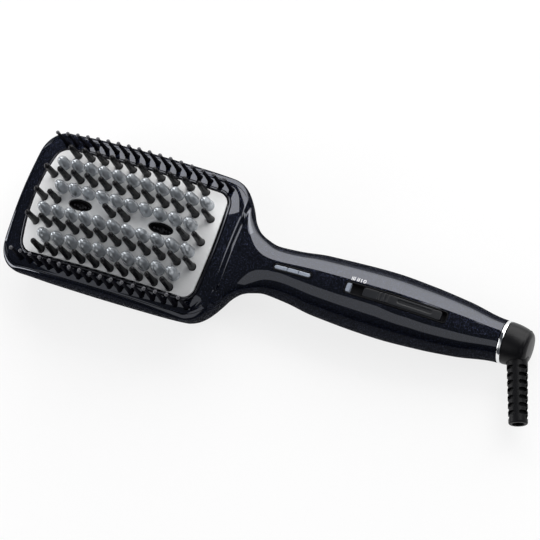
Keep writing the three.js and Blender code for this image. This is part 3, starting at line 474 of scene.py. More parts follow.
def surface_normals(body):
    """A function that gives the smooth normal of a body's skin next to a point."""
    mesh = body.data
    places = [v.co for v in mesh.vertices]
    tree = BVHTree.FromPolygons(places, [tuple(f.vertices) for f in mesh.polygons])
    smooth = [v.normal.copy() for v in mesh.vertices]

    def normal_at(point):
        place, _, index, distance = tree.find_nearest(point)
        if place is None or distance > 0.4 * MM:
            return None
        corners = mesh.polygons[index].vertices
        if len(corners) > 4:
            return None
        weights = poly_3d_calc([places[i] for i in corners], place)
        total = sum((smooth[i] * w for i, w in zip(corners, weights)), Vector())
        return total.normalized()

    return normal_at


def dome_normal(point):
    x = (point.x - ORIGIN_X) / MM
    y = point.y / MM
    return Vector((x / DOME_X, y / DOME_Y, 1)).normalized()


# Outlines


def arc(x, y, radius, start, sweep, steps, last=1):
    """Points of an arc, with its angles in quarter turns; last=0 leaves its last point off."""
    points = []
    for i in range(steps + last):
        angle = (start + sweep * i / steps) * math.pi / 2
        points.append((x + radius * math.cos(angle), y + radius * math.sin(angle)))
    return points


def side_points(x0, x1, y, steps, first=0):
    """Points along a straight side, without its last one."""
    return [(mix(x0, x1, i / steps), y) for i in range(first, steps)]


def plate_outline(grow):
    """The heating plate's outline moved out by grow; its ends bow out in the middle."""
    half_length = PLATE_HALF_LENGTH + grow
    half_width = PLATE_HALF_WIDTH + grow
    radius = PLATE_CORNER + grow
    end_x = half_length - radius
    end_y = half_width - radius
    quarter = [(half_length, i / 8 * end_y) for i in range(8)]
    quarter += arc(end_x, end_y, radius, 0, 1, 10, 0) + side_points(end_x, 0, half_width, 26)
    bowed = []
    for x, y in quarter:
        bow = PLATE_BOW * (x / PLATE_HALF_LENGTH) ** 2 * (y / PLATE_HALF_WIDTH) ** 2
        bowed.append((x - bow, y))
    upper = bowed + [(0, half_width)] + [(-x, y) for x, y in reversed(bowed)]
    return upper + [(x, -y) for x, y in reversed(upper[1:-1])]


def slot_outline(x0, x1, half, steps=14):
    """A straight slot with round ends."""
    return arc(x1 - half, 0, half, -1, 2, steps) + arc(x0 + half, 0, half, 1, 2, steps)


def long_outline(x0, x1, half, along=40, steps=14):
    """A slot's outline with points along its straight sides too, so that it can follow a skin."""
    left, right = x0 + half, x1 - half
    points = arc(right, 0, half, -1, 2, steps, 0) + side_points(right, left, half, along)
    return points + arc(left, 0, half, 1, 2, steps, 0) + side_points(left, right, -half, along)


def rounded_box(x0, x1, half, radius, steps=6, along=24):
    """A rectangle's outline with rounded corners and points along its sides."""
    left, right, side = x0 + radius, x1 - radius, half - radius
    points = arc(right, -side, radius, -1, 1, steps) + arc(right, side, radius, 0, 1, steps)
    points += side_points(right, left, half, along, 1)
    points += arc(left, side, radius, 1, 1, steps) + arc(left, -side, radius, 2, 1, steps)
    return points + side_points(left, right, -half, along, 1)


def swept(section, outline_at, surface):
    """Rings of a section's (grow, drop) points along an outline, hung from a surface."""
    rings = []
    for grow, drop in section:
        rings.append([(x, y, surface(x, y) - drop) for x, y in outline_at(grow)])
    return rings


# Housings


def crease_outline(grow):
    """The head's outline drawn in to the crease where the two housings meet."""
    places = stations(CREASE_INSET - grow, 1.0, NECK_X - 6)
    return [(x, -width) for x, width in reversed(places)] + places


def handle_wedge(grow):
    """Everything above the split along the handle's widest level."""
    low = [(SHOULDER_X - 8, PLATE_TOP), (SHOULDER_X, widest_z(SHOULDER_X) + 4 - grow)]
    x = SHOULDER_X + 6
    while x < HANDLE_END_X:
        low.append((x, widest_z(x) - grow))
        x += 2
    low.append((HANDLE_END_X + 20, HANDLE_END_Z - grow))
    outline = [(SHOULDER_X - 8, TALL)] + low + [(HANDLE_END_X + 20, TALL)]
    reach = HEAD_HALF_WIDTH + 5
    return loft([[(x, y, z) for x, z in outline] for y in (-reach, reach)])


def front_region(grow):
    """What the front housing takes of the body, grown to leave a gap round it."""
    level = HEAD_WIDEST_Z - 1.5 - grow
    region = solid("front_region", prism(crease_outline(grow), level, TALL))
    boolean(region, solid("wedge", handle_wedge(grow)), "UNION")
    return region


def screw_places():
    """Places of the four screws in the head, then of the two in the handle."""
    head = [(sx * HEAD_SCREW_X, sy * HEAD_SCREW_Y) for sx in (-1, 1) for sy in (-1, 1)]
    return head + [(x, 0) for x in HANDLE_SCREW_PLACES]


def comb_y(x):
    """The combs stand further out in the middle, as the head does."""
    return HEAD_HALF_WIDTH - COMB_INSET - COMB_BOW * (x / (COMB_PINS - 1) / COMB_PITCH * 2) ** 2


def comb_places(side):
    places = [(i - (COMB_PINS - 1) / 2) * COMB_PITCH for i in range(COMB_PINS)]
    return [(x, side * comb_y(x)) for x in places]


def switch_outline(inset):
    """The switch's opening in plan, drawn in by inset."""
    return rounded_box(SLOT_START + inset, SLOT_END - inset, SLOT_HALF - inset, SLOT_CORNER - inset)


def make_housings():
    """The two housings, cut from one hollow body."""
    body = body_solid("body", 0, 1.0, HANDLE_END_X, (14, 12, 14, 8))
    rear = new_object("rear_shell", body.data.copy())
    boolean(rear, body_solid("inner", WALL, 3.0, HANDLE_END_X - 3, (5, 5, 6, 3)), "DIFFERENCE")
    bore = [(x, CORD_BORE) for x in (HANDLE_END_X - 6, HANDLE_END_X + 5)]
    cut(rear, loft(turned_along_x(bore, 32)))
    front = new_object("front_shell", rear.data.copy())
    boolean(front, front_region(0), "INTERSECT")
    cut(front, prism(plate_outline(SURROUND_GAP + SURROUND_WIDTH + FIT_GAP), 0, TALL))
    window = slot_outline(WINDOW_START - FIT_GAP, WINDOW_END + FIT_GAP, WINDOW_HALF + FIT_GAP)
    for outline in (window, switch_outline(-FIT_GAP)):
        cut(front, prism(outline, HANDLE_END_Z, TALL))
    wide = COMB_FOOT + FIT_GAP
    feet = comb_places(-1) + comb_places(1)
    cut(front, *[turned([(wide, 10), (wide, TALL)], 24, x, y) for x, y in feet])
    boolean(rear, front_region(FIT_GAP), "DIFFERENCE")
    for x, y in screw_places():
        seat = underside_z(x) + SCREW_SINK + SCREW_HEAD_HEIGHT + FIT_GAP
        wide = SCREW_HEAD_RADIUS + FIT_GAP
        cut(rear, turned([(wide, -5), (wide, seat)], 40, x, y))
    normal_at = surface_normals(body)
    for piece in (front, rear):
        polish(piece, normal_at)
    remove(body)
    return front, rear


# Plate, pins and combs

PIN_ROWS = [(4, 10), (2, 12), (-2, 12), (-4, 10)]
CENTRE_GROUPS = {"left": (0, 1), "middle": (5, 6), "right": (10, 11)}
STUD_ROWS = [(3, 11, 0.0), (1, 10, STUD_SHIFT), (-1, 11, 0.0), (-3, 10, STUD_SHIFT)]


def column_x(column, columns):
    return (column - (columns - 1) / 2) * PIN_PITCH


def row_pins(step, columns):
    return [(column_x(i, columns), step * ROW_STEP) for i in range(columns)]


def centre_pins(name):
    return [(column_x(i, 12), 0.0) for i in CENTRE_GROUPS[name]]


def bar_under(x0, x1, half_width, steps, y_at, surface, drop, thickness):
    """A bar with a rectangular section that follows a surface at a depth."""
    rings = []
    for i in range(steps + 1):
        x = x0 + (x1 - x0) * i / steps
        y = y_at(x)
        low = surface(x, y - half_width) - drop
        high = surface(x, y + half_width) - drop
        ring = [(x, y - half_width, low - thickness), (x, y + half_width, high - thickness)]
        rings.append(ring + [(x, y + half_width, high), (x, y - half_width, low)])
    return loft(rings)


def pin(x, y, sides=30, flats=5):
    """One stout tapering pin with softly flattened sides and a round tip."""
    surface = dome(x, y)
    rings = [ring_at(x, y, surface - 2.6, PIN_BASE - 0.2, sides)]
    straight = PIN_HEIGHT - PIN_TIP
    for i in range(9):
        share = i / 8
        radius = mix(PIN_BASE, PIN_TIP, share)
        depth = 0.06 * min(1, 6 * share) * min(1, 6 * (1 - share) + 0.2)
        ring = []
        for k, (dx, dy) in enumerate(circle(radius, sides)):
            shrink = 1 - depth * (0.5 + 0.5 * math.cos(flats * 2 * math.pi * k / sides))
            ring.append((x + shrink * dx, y + shrink * dy, surface + share * straight))
        rings.append(ring)
    for i in range(1, 8):
        angle = i / 7 * math.pi / 2
        height = straight + PIN_TIP * math.sin(angle)
        rings.append(ring_at(x, y, surface + height, max(0.05, PIN_TIP * math.cos(angle)), sides))
    return loft(rings)


def pin_strip(name, pins):
    """A row of pins on the bar that carries them under the plate."""
    y = pins[0][1]
    x0 = pins[0][0] - RAIL_HALF_WIDTH - 0.5
    x1 = pins[-1][0] + RAIL_HALF_WIDTH + 0.5
    steps = max(1, round((x1 - x0) / 3))
    drop = PLATE_THICKNESS + 0.5
    rail = bar_under(x0, x1, RAIL_HALF_WIDTH, steps, lambda _: y, dome, drop, RAIL_THICKNESS)
    return solid(name, merge([rail] + [pin(x, py) for x, py in pins]), 50)


def stud(x, y, sides=32):
    """One stout round-topped stud with a small fillet at its foot."""
    z = dome(x, y)
    knots = curve_through([
        (0, STUD_RADIUS),
        (0.35, STUD_RADIUS),
        (0.63, 0.91 * STUD_RADIUS),
        (0.88, 0.6 * STUD_RADIUS),
        (1.0, 0.24 * STUD_RADIUS),
    ])
    foot = [(0.35, -0.7), (0.35, 0.02), (0.12, 0.16), (0, 0.45)]
    profile = [(STUD_RADIUS + grow, z + rise) for grow, rise in foot]
    profile += [(knots(i / 15), z + i / 15 * STUD_HEIGHT) for i in range(1, 15)]
    for share in (0.3, 0.6, 0.85, 0.97):
        angle = share * math.pi / 2
        height = mix(14 / 15, 1.0, math.sin(angle)) * STUD_HEIGHT
        profile.append((max(knots(14 / 15) * math.cos(angle), 0.04), z + height))
    return turned(profile, sides, x, y)


def outlet_outline(side, grow):
    long = OUTLET_HALF_LENGTH + grow
    wide = OUTLET_HALF_WIDTH + grow
    return [(side * OUTLET_X + long * x, OUTLET_Y + wide * y) for x, y in circle(1, 48)]


def make_plate():
    """The domed plate: its rim and rings drawn in towards the middle, then its holes."""
    shares = [0.02] + [i / 16 for i in range(1, 16)] + [0.985, 1.0]
    rings = []
    for drop, order in ((PLATE_THICKNESS, shares), (0, reversed(shares))):
        for share in order:
            points = [(x * share, y * share) for x, y in plate_outline(0)]
            rings.append([(x, y, dome(x, y) - drop) for x, y in points])
    plate = solid("plate_sheet", loft(rings))
    pins = [p for row in PIN_ROWS for p in row_pins(*row)]
    pins += [p for name in CENTRE_GROUPS for p in centre_pins(name)]
    wide = PIN_BASE + FIT_GAP
    holes = [turned([(wide, 0), (wide, TALL)], 28, x, y) for x, y in pins]
    holes += [prism(outlet_outline(side, 0), 0, TALL) for side in (-1, 1)]
    cut(plate, *holes)
    polish(plate, dome_normal, 0.9)
    return plate


def make_studs():
    """Four rows of studs between the rows of pins."""
    studs = []
    for step, columns, shift in STUD_ROWS:
        studs += [stud(column_x(i, columns) + shift, step * ROW_STEP) for i in range(columns)]
    return solid("plate_studs", merge(studs), 60)


def make_surround():
    """The black bead round the plate, swept along the plate's outline."""
    section = [(0.8, 3.4), (0.8, 0.75), (0.95, 0.42), (1.25, 0.2), (1.55, 0.15)]
    section += [(1.85, 0.2), (2.15, 0.42), (2.3, 0.75), (2.3, 5.2), (-2.0, 5.2), (-2.0, 3.4)]
    return solid("surround_bead", loop_loft(swept(section, plate_outline, dome)), 45)


def make_outlet(side, name):
    """An ion outlet: a dark cup under its hole in the plate, with a rounded lip."""
    section = [(-0.3, 4.6), (-0.3, 0.75), (-0.42, 0.5), (-0.6, 0.4), (-0.9, 0.42)]
    section += [(-1.12, 0.6), (-1.2, 0.9), (-1.2, OUTLET_DEPTH)]
    return solid(name, loft(swept(section, lambda grow: outlet_outline(side, grow), dome)), 40)


def outlet_ribs(side, name):
    """Short ribs on the cup's floor round the needle."""
    parts = []
    for dx in (-4.4, -2.4, 2.4, 4.4):
        x = side * OUTLET_X + dx
        z = dome(x, OUTLET_Y) - OUTLET_DEPTH
        profile = [(0.55, z - 0.3), (0.5, z + 1.0), (0.3, z + 1.35), (0.05, z + 1.45)]
        parts.append(turned(profile, 16, x, OUTLET_Y))
    return solid(name, merge(parts), 50)


def strip_z(x, y):
    """Height of the head's strip outside the plate."""
    return dome(x, y) - STRIP_DROP


def comb_rail(side):
    """The rail under the housing's wall that joins a comb's pins."""
    reach = (COMB_PINS - 1) / 2 * COMB_PITCH + 2
    sizes = (COMB_RAIL_DROP, COMB_RAIL_THICKNESS)
    return bar_under(-reach, reach, COMB_RAIL, 48, lambda x: side * comb_y(x), strip_z, *sizes)


def comb_pin(x, y):
    """A comb's pin: stout where it comes through the strip, slim under its ball."""
    z = strip_z(x, y)
    stem_top = z + COMB_HEIGHT - 1.9 * COMB_BALL
    profile = [(COMB_RAIL, z - COMB_RAIL_DROP - 1), (COMB_FOOT, z - 0.4), (COMB_FOOT, z + 0.2)]
    profile += [(mix(COMB_FOOT, COMB_NECK, 0.55), mix(z, stem_top, 0.45)), (COMB_NECK, stem_top)]
    return turned(profile + [(0.6 * COMB_NECK, stem_top + 0.5)], 20, x, y)


def comb_ball(x, y):
    top = strip_z(x, y) + COMB_HEIGHT
    profile = arc(0, top - COMB_BALL, COMB_BALL, -1, 2, 12, 0)[1:] + [(0.02, top)]
    return turned(profile, 20, x, y)


def make_comb(side, name):
    stems = [comb_rail(side)] + [comb_pin(x, y) for x, y in comb_places(side)]
    balls = [comb_ball(x, y) for x, y in comb_places(side)]
    return solid(name, merge(stems), 50), solid(name + "_tips", merge(balls), 50)


# Handle pieces

LENS_JOINTS = [95.8, 102.3]
LENS_JOINT_HALF = 0.18
PRINT_LIFT = 0.03
BUTTON_HALF = SLOT_HALF - SLOT_WALL - FIT_GAP
BUTTON_CORNER = 1.2
RIDGES = [147.4, 149.85, 152.3]
GROOVE_START = 157.5
GROOVE_END = 176.5
GROOVE_HALF = 1.15
GROOVE_Y = 0.35
MARK_START = 4.3
MARK_END = 6.3
MARK_BAR = 0.42
MARK_PLACES = [130.6, 131.4, 132.2, 133.7, 134.5, 135.8]
MARK_RING_X = 137.9


def on_skin(outline, drop):
    """An outline's points at a drop under the body's skin."""
    return [(x, y, top_surface(x, y) - drop) for x, y in outline]


def skin_plate(outline, inset, depth, rounding):
    """A piece that fills an outline and follows the body's skin, with a rounded rim."""
    middle_x = sum(x for x, _ in outline) / len(outline)
    half = max(y for _, y in outline)
    rings = [on_skin(outline, inset + depth), on_skin(outline, inset + rounding)]
    for share in (0.3, 1.0):
        pull = rounding * share
        drawn = []
        for x, y in outline:
            step = math.copysign(min(pull, abs(x - middle_x)), x - middle_x)
            drawn.append((x - step, y * (1 - pull / half)))
        rings.append(on_skin(drawn, inset + rounding * (1 - share) ** 2))
    for share in (0.4, 0.7, 0.9):
        rings.append(on_skin([(x, y * (1 - share)) for x, y in drawn], inset))
    return loft(rings)


def window_outline(inset):
    """The indicator window's opening in plan, drawn in by inset."""
    return long_outline(WINDOW_START + inset, WINDOW_END - inset, WINDOW_HALF - inset)


def frame_rings(outline_at, rim, depth):
    """Rings of a frame that follows the skin, from its foot over its rounded rim."""
    section = [(0, depth), (0, 0.12), (0.06, 0.03), (0.2, 0)]
    section += [(rim - 0.2, 0), (rim - 0.06, 0.05), (rim, 0.16)]
    return swept(section, outline_at, top_surface)


def make_window_frame():
    rings = frame_rings(window_outline, WINDOW_RIM, WINDOW_DEPTH)
    rings.append(on_skin(window_outline(WINDOW_RIM), WINDOW_DEPTH))
    return solid("indicator_frame", loop_loft(rings), 35)


def make_lens():
    """The indicator's lens in three segments; points just past a segment's end are drawn to it."""
    inset = WINDOW_RIM + FIT_GAP
    start, stop = WINDOW_START + inset, WINDOW_END - inset
    starts = [start] + [x + LENS_JOINT_HALF for x in LENS_JOINTS]
    stops = [x - LENS_JOINT_HALF for x in LENS_JOINTS] + [stop]
    full = long_outline(start, stop, WINDOW_HALF - inset, 60, 10)
    parts = []
    for low, high in zip(starts, stops):
        kept = [(min(max(x, low), high), y) for x, y in full if low - 1.2 <= x <= high + 1.2]
        clean = [p for i, p in enumerate(kept) if i == 0 or p != kept[i - 1]]
        parts.append(skin_plate(clean, 0.05, 1.9, 0.14))
    return solid("indicator_lens_segments", merge(parts), 35)


def slot_floor_z(x):
    return BUTTON_FLOOR_Z + BUTTON_SLOPE * (x - BUTTON_START)


def make_switch_frame():
    """The frame of the switch's slot with the sloping floor that the button runs on."""
    rings = frame_rings(switch_outline, SLOT_WALL, 0)
    rings[0] = [(x, y, slot_floor_z(x) - 1) for x, y in switch_outline(0)]
    rings.append([(x, y, slot_floor_z(x)) for x, y in switch_outline(SLOT_WALL)])
    return solid("switch_frame", loft(rings), 35)


def filler_width(from_end, corner):
    """Half width of what fills the switch's slot, near an end with rounded corners."""
    short = max(0.0, corner - from_end)
    return BUTTON_HALF - corner + math.sqrt(max(0.0, corner**2 - short**2))


def filler_foot(x, width):
    low = slot_floor_z(x) + FIT_GAP
    return [(x, width, low), (x, -width, low)]


def button_rise(x, y):
    """Height of the button's top over the skin: three ridges and a shallow round-ended groove."""
    rise = -0.1
    for middle in RIDGES:
        rise += 0.5 * math.exp(-(((x - middle) / 0.42) ** 2))
    along = max(GROOVE_START + GROOVE_HALF - x, 0, x - GROOVE_END + GROOVE_HALF)
    off_axis = math.hypot(along, y - GROOVE_Y)
    depth = min(1, max(0, (GROOVE_HALF - off_axis) / 0.35))
    return rise - 0.45 * depth * depth * (3 - 2 * depth)


def make_button():
    """The sliding button, from sections along it that narrow at its rounded corners."""
    columns = int((BUTTON_END - BUTTON_START) / 0.16)
    edge_rows = [-1, -0.985, -0.95, -0.9]
    rows = edge_rows + [i / 14 for i in range(-12, 13)] + [-row for row in reversed(edge_rows)]
    rings = []
    for i in range(columns + 1):
        x = mix(BUTTON_START, BUTTON_END, i / columns)
        from_end = min(x - BUTTON_START, BUTTON_END - x)
        width = filler_width(from_end, BUTTON_CORNER)
        end_drop = 0.3 * max(0, 1 - from_end / 0.4) ** 2
        ring = []
        for row in rows:
            y = row * width
            edge = max(0, (abs(row) - 0.86) / 0.14)
            rise = mix(button_rise(x, y), -0.1, min(1, edge * 1.5))
            ring.append((x, y, top_surface(x, y) + rise - 0.28 * edge**2 - end_drop))
        rings.append(ring + filler_foot(x, width))
    return solid("button_top", loft(rings), 48)


def make_clear_end(steps=20):
    """The clear piece that fills the head end of the switch's slot."""
    start = SLOT_START + SLOT_WALL + FIT_GAP
    corner = SLOT_CORNER - SLOT_WALL - FIT_GAP
    rings = []
    for i in range(steps + 1):
        x = start + CLEAR_END * (0.005 + 0.995 * i / steps)
        width = filler_width(x - start, corner)
        from_end = min(x - start, start + CLEAR_END - x)
        bevel = 0.35 * max(0, 1 - from_end / 0.4)
        ring = []
        for row in (-1, -0.93, -0.86, -0.5, 0, 0.5, 0.86, 0.93, 1):
            side = 0.35 * max(0, (abs(row) - 0.86) / 0.14)
            y = row * width
            ring.append((x, y, top_surface(x, y) - 0.2 - max(side, bevel)))
        rings.append(ring + filler_foot(x, width))
    return solid("clear_end", loft(rings), 25)


def mark_bar(x0, columns=2):
    """A thin bar printed across the handle's skin."""
    points = []
    for i in range(columns + 1):
        x = x0 + MARK_BAR * i / columns
        points += on_skin([(x, MARK_START), (x, MARK_END)], -PRINT_LIFT)
    return points, [(a, a + 2, a + 3, a + 1) for a in range(0, 2 * columns, 2)]


def mark_ring(sides=32):
    """A printed ring, a little longer across the brush than along it."""
    middle = (MARK_START + MARK_END) / 2
    points = []
    for x, y in circle(1, sides):
        for along, across in ((0.42, 0.62), (0.82, 1.0)):
            points.append((MARK_RING_X + along * x, middle + across * y))
    count = 2 * sides
    faces = [(i, i + 1, (i + 3) % count, (i + 2) % count) for i in range(0, count, 2)]
    return on_skin(points, -PRINT_LIFT), faces


def make_marks():
    """Level marks beside the slider: III, II, I and O."""
    bars = [mark_bar(x) for x in MARK_PLACES]
    return mesh_object("level_marks", *merge(bars + [mark_ring()]))


# Cord end

RING_START = HANDLE_END_X + FIT_GAP
RING_WIDTH = 1.9
RING_BORE = 8.4
CAP_START = RING_START + RING_WIDTH + FIT_GAP
CAP_LENGTH = 12.8
CAP_END_RADIUS = 9.4
CAP_CORNER = 3.2
RELIEF_X = 220.4
RELIEF_ANGLE = 20
RELIEF_ROOT = 5.5
RELIEF_END_RADIUS = 5.05
RELIEF_SLACK = 0.06
RELIEF_START = 6.2
RELIEF_END = 41.8
RELIEF_ROUNDING = 0.8
RELIEF_RECESS = 3.4
RELIEF_BORE = 3.1
RELIEF_FIRST = 12.4
RELIEF_PITCH = 4
RELIEF_SLOTS = 7


def make_end_ring():
    """The polished ring, with rounded edges, between the handle and the swivel cap."""
    stop = RING_START + RING_WIDTH
    radius = HANDLE_END_RADIUS + 0.1
    profile = [(RING_START, RING_BORE), (RING_START, radius - 0.35)]
    profile.append((RING_START + 0.1, radius - 0.12))
    profile += [(RING_START + 0.35, radius), (stop - 0.35, radius), (stop - 0.1, radius - 0.12)]
    profile += [(stop, radius - 0.35), (stop, RING_BORE)]
    return solid("ring_polished", loop_loft(turned_along_x(profile, 96)), 35)


def along_relief(x, y, z):
    """A point of the strain relief's own frame (X outwards) turned into place."""
    angle = math.radians(RELIEF_ANGLE - 90)
    turned_x = x * math.cos(angle) - y * math.sin(angle)
    turned_y = x * math.sin(angle) + y * math.cos(angle)
    return RELIEF_X + turned_x, turned_y, HANDLE_END_Z + z


def relief_loft(profile, sides):
    """A solid turned about the strain relief's axis from (x, radius) points."""
    return loft([[along_relief(x, y, z) for y, z in circle(radius, sides)] for x, radius in profile])


def make_cap():
    """The swivel cap: a hollow turned shell with a hole in its side for the strain relief."""
    tip = CAP_START + CAP_LENGTH
    outer = HANDLE_END_RADIUS - 0.1
    curve = curve_through([
        (CAP_START, outer),
        (CAP_START + 4, outer - 0.3),
        (CAP_START + 8, outer - 1.1),
        (tip - 2.4, CAP_END_RADIUS),
    ])
    profile = [(CAP_START, CAP_END_RADIUS - 0.8), (CAP_START, outer - 0.2)]
    profile.append((CAP_START + 0.15, outer - 0.04))
    for i in range(1, 25):
        x = mix(CAP_START + 0.3, tip - 2.4, i / 24)
        profile.append((x, curve(x) - 0.02))
    flat = CAP_END_RADIUS - CAP_CORNER
    for radius, x in arc(flat, tip - 0.3 - CAP_CORNER, CAP_CORNER, 0, 1, 10)[1:]:
        profile.append((x, radius - 0.02))
    for share in (0.75, 0.5, 0.25, 0.0):
        profile.append((tip - 0.3 * share**2, max(share * flat, 0.02)))
    profile += [(tip - 1.8, 0.02), (tip - 3.2, 5), (tip - 5.8, 7.6), (CAP_START + 3, 8.6)]
    cap = solid("cap_body", loop_loft(turned_along_x(profile, 80)))
    hole_radius = RELIEF_ROOT + FIT_GAP
    cut(cap, relief_loft([(RELIEF_START - FIT_GAP, hole_radius), (30, hole_radius)], 64))
    sharpen(cap, 40)
    return cap


def relief_radius(x):
    """The strain relief's radius, straight at its root and then tapering."""
    start = RELIEF_FIRST - 1.5
    share = max(0, (x - start) / (RELIEF_END - RELIEF_ROUNDING - start))
    return mix(RELIEF_ROOT, RELIEF_END_RADIUS, share) - RELIEF_SLACK


def relief_slot(x, turn, half=1.05, reach=2.7, depth=1.7):
    """A block with rounded ends that cuts one slot of the strain relief."""
    inner = RELIEF_END_RADIUS - depth
    rings = []
    for height in (inner, inner + 5):
        ring = []
        for across, along in slot_outline(-reach, reach, half, 6):
            y = across * math.cos(turn) - height * math.sin(turn)
            z = across * math.sin(turn) + height * math.cos(turn)
            ring.append(along_relief(x + along, y, z))
        rings.append(ring)
    return loft(rings)


def make_relief():
    """The slotted strain relief, with a shallow recess where the cord would enter."""
    profile = [(RELIEF_START, 0.02), (RELIEF_START, RELIEF_ROOT - 0.2)]
    profile.append((RELIEF_START + 0.2, RELIEF_ROOT))
    for i in range(1, 20):
        x = mix(RELIEF_START + 0.4, RELIEF_END - 0.9, i / 19)
        profile.append((x, relief_radius(x)))
    end = RELIEF_END - RELIEF_ROUNDING
    rim = RELIEF_END_RADIUS - RELIEF_SLACK - RELIEF_ROUNDING
    for degrees in (20, 45, 70, 90):
        turn = math.radians(degrees)
        x = end + RELIEF_ROUNDING * math.sin(turn)
        profile.append((x, rim + RELIEF_ROUNDING * math.cos(turn)))
    recess = RELIEF_END - RELIEF_RECESS
    profile += [(RELIEF_END, RELIEF_BORE + 0.2), (RELIEF_END - 0.2, RELIEF_BORE)]
    relief = solid("relief_body", relief_loft(profile + [(recess, RELIEF_BORE), (recess, 0.02)], 72))
    slots = []
    for i in range(RELIEF_SLOTS):
        for shift, angles in ((0, (45, 135, 225, 315)), (0.5, (90, 270))):
            x = RELIEF_FIRST + (i + shift) * RELIEF_PITCH
            slots += [relief_slot(x, math.radians(angle)) for angle in angles]
    cut(relief, *slots)
    sharpen(relief, 35)
    return relief


def make_screw(x, y, name):
    """A housing screw with a cross in its head."""
    z = underside_z(x) + SCREW_SINK
    wide = SCREW_HEAD_RADIUS
    top = z + SCREW_HEAD_HEIGHT
    head = [(wide - 0.3, z), (wide, z + 0.3), (wide, top), (SCREW_SHANK, top), (SCREW_SHANK, z + 3)]
    screw = solid(name, turned(head, 40, x, y))
    arm = (SCREW_CROSS_REACH, SCREW_CROSS_HALF)
    for dx, dy in (arm, arm[::-1]):
        corners = [(x - dx, y - dy), (x + dx, y - dy), (x + dx, y + dy), (x - dx, y + dy)]
        cut(screw, prism(corners, 0, z + SCREW_CROSS_DEPTH))
    sharpen(screw, 35)
    return screw


# Materials


def fill(node, inputs):
    """Sets a node's inputs to plain values, or links them to other nodes' outputs."""
    for key, value in inputs.items():
        if isinstance(value, bpy.types.NodeSocket):
            node.id_data.links.new(value, node.inputs[key])
        else:
            node.inputs[key].default_value = value


def put(tree, kind, inputs, **settings):
    """Adds a node with its settings and inputs."""
    node = tree.nodes.new(kind)
    for key, value in settings.items():
        setattr(node, key, value)
    fill(node, inputs)
    return node


def make_material(name, look, *values, cover=None):
    """A material whose look gives its shader's inputs, and whose cover is laid over that."""
    mat = bpy.data.materials.new(name)
    mat.use_nodes = True
    tree = mat.node_tree
    tree.nodes.clear()
    surface = put(tree, "ShaderNodeBsdfPrincipled", look(tree, *values)).outputs["BSDF"]
    if cover:
        surface = cover(tree, surface)
    put(tree, "ShaderNodeOutputMaterial", {"Surface": surface})
    return mat


def maths(tree, operation, *inputs, kind="ShaderNodeMath", **named):
    """The result of a maths node on plain values and other nodes' outputs."""
    inputs = dict(enumerate(inputs)) | named
    return put(tree, kind, inputs, operation=operation).outputs[0]


def vector_maths(tree, operation, *inputs, **named):
    return maths(tree, operation, *inputs, kind="ShaderNodeVectorMath", **named)


def object_coords(tree, scale=(1, 1, 1)):
    coords = put(tree, "ShaderNodeTexCoord", {}).outputs["Object"]
    return put(tree, "ShaderNodeMapping", {"Scale": scale, "Vector": coords}).outputs["Vector"]


def noise(tree, vector, scale, detail=3.0, roughness=0.55):
    inputs = {"Vector": vector, "Scale": scale, "Detail": detail, "Roughness": roughness}
    return put(tree, "ShaderNodeTexNoise", inputs).outputs["Fac"]


def span(tree, source, low, high, from_low=0.0, from_high=1.0):
    """Maps a value from one range to another."""
    inputs = {"From Min": from_low, "From Max": from_high, "To Min": low, "To Max": high}
    return put(tree, "ShaderNodeMapRange", {"Value": source} | inputs).outputs["Result"]


def two_tones(tree, factor, low, high):
    ramp = put(tree, "ShaderNodeValToRGB", {"Fac": factor})
    ramp.color_ramp.elements[0].color = (*low, 1)
    ramp.color_ramp.elements[1].color = (*high, 1)
    return ramp.outputs["Color"]


def bump(tree, height, strength, distance):
    inputs = {"Height": height, "Strength": strength, "Distance": distance}
    return put(tree, "ShaderNodeBump", inputs).outputs["Normal"]


def mixed(tree, share, first, second):
    """A mix of two shaders with the second one's share."""
    return put(tree, "ShaderNodeMixShader", {0: share, 1: first, 2: second}).outputs["Shader"]


def clear_gloss(tree, surface, strength=0.068):
    """A clear gloss over a shader, full on what faces up and thin on the steep sides."""
    dents = bump(tree, noise(tree, object_coords(tree), 300, 2.0), 0.04, 0.00003)
    inputs = {"Color": (0.88, 0.91, 1, 1), "Roughness": 0.03, "Normal": dents}
    gloss = put(tree, "ShaderNodeBsdfGlossy", inputs).outputs["BSDF"]
    facing = put(tree, "ShaderNodeTexCoord", {}).outputs["Normal"]
    upward = put(tree, "ShaderNodeSeparateXYZ", {0: facing}).outputs["Z"]
    return mixed(tree, span(tree, upward, 0.1 * strength, strength, 0.66, 0.84), surface, gloss)


def plastic(tree, dark, light, rough, grain, shine=0.5):
    """A moulded plastic with a fine grain in colour, gloss and surface."""
    vector = object_coords(tree)
    fine = noise(tree, vector, grain, 4.0)
    return {
        "Base Color": two_tones(tree, noise(tree, vector, grain / 14, 2.0), dark, light),
        "Roughness": span(tree, fine, rough - 0.06, rough + 0.06),
        "Normal": bump(tree, fine, 0.35, 0.00004),
        "Specular IOR Level": shine,
    }


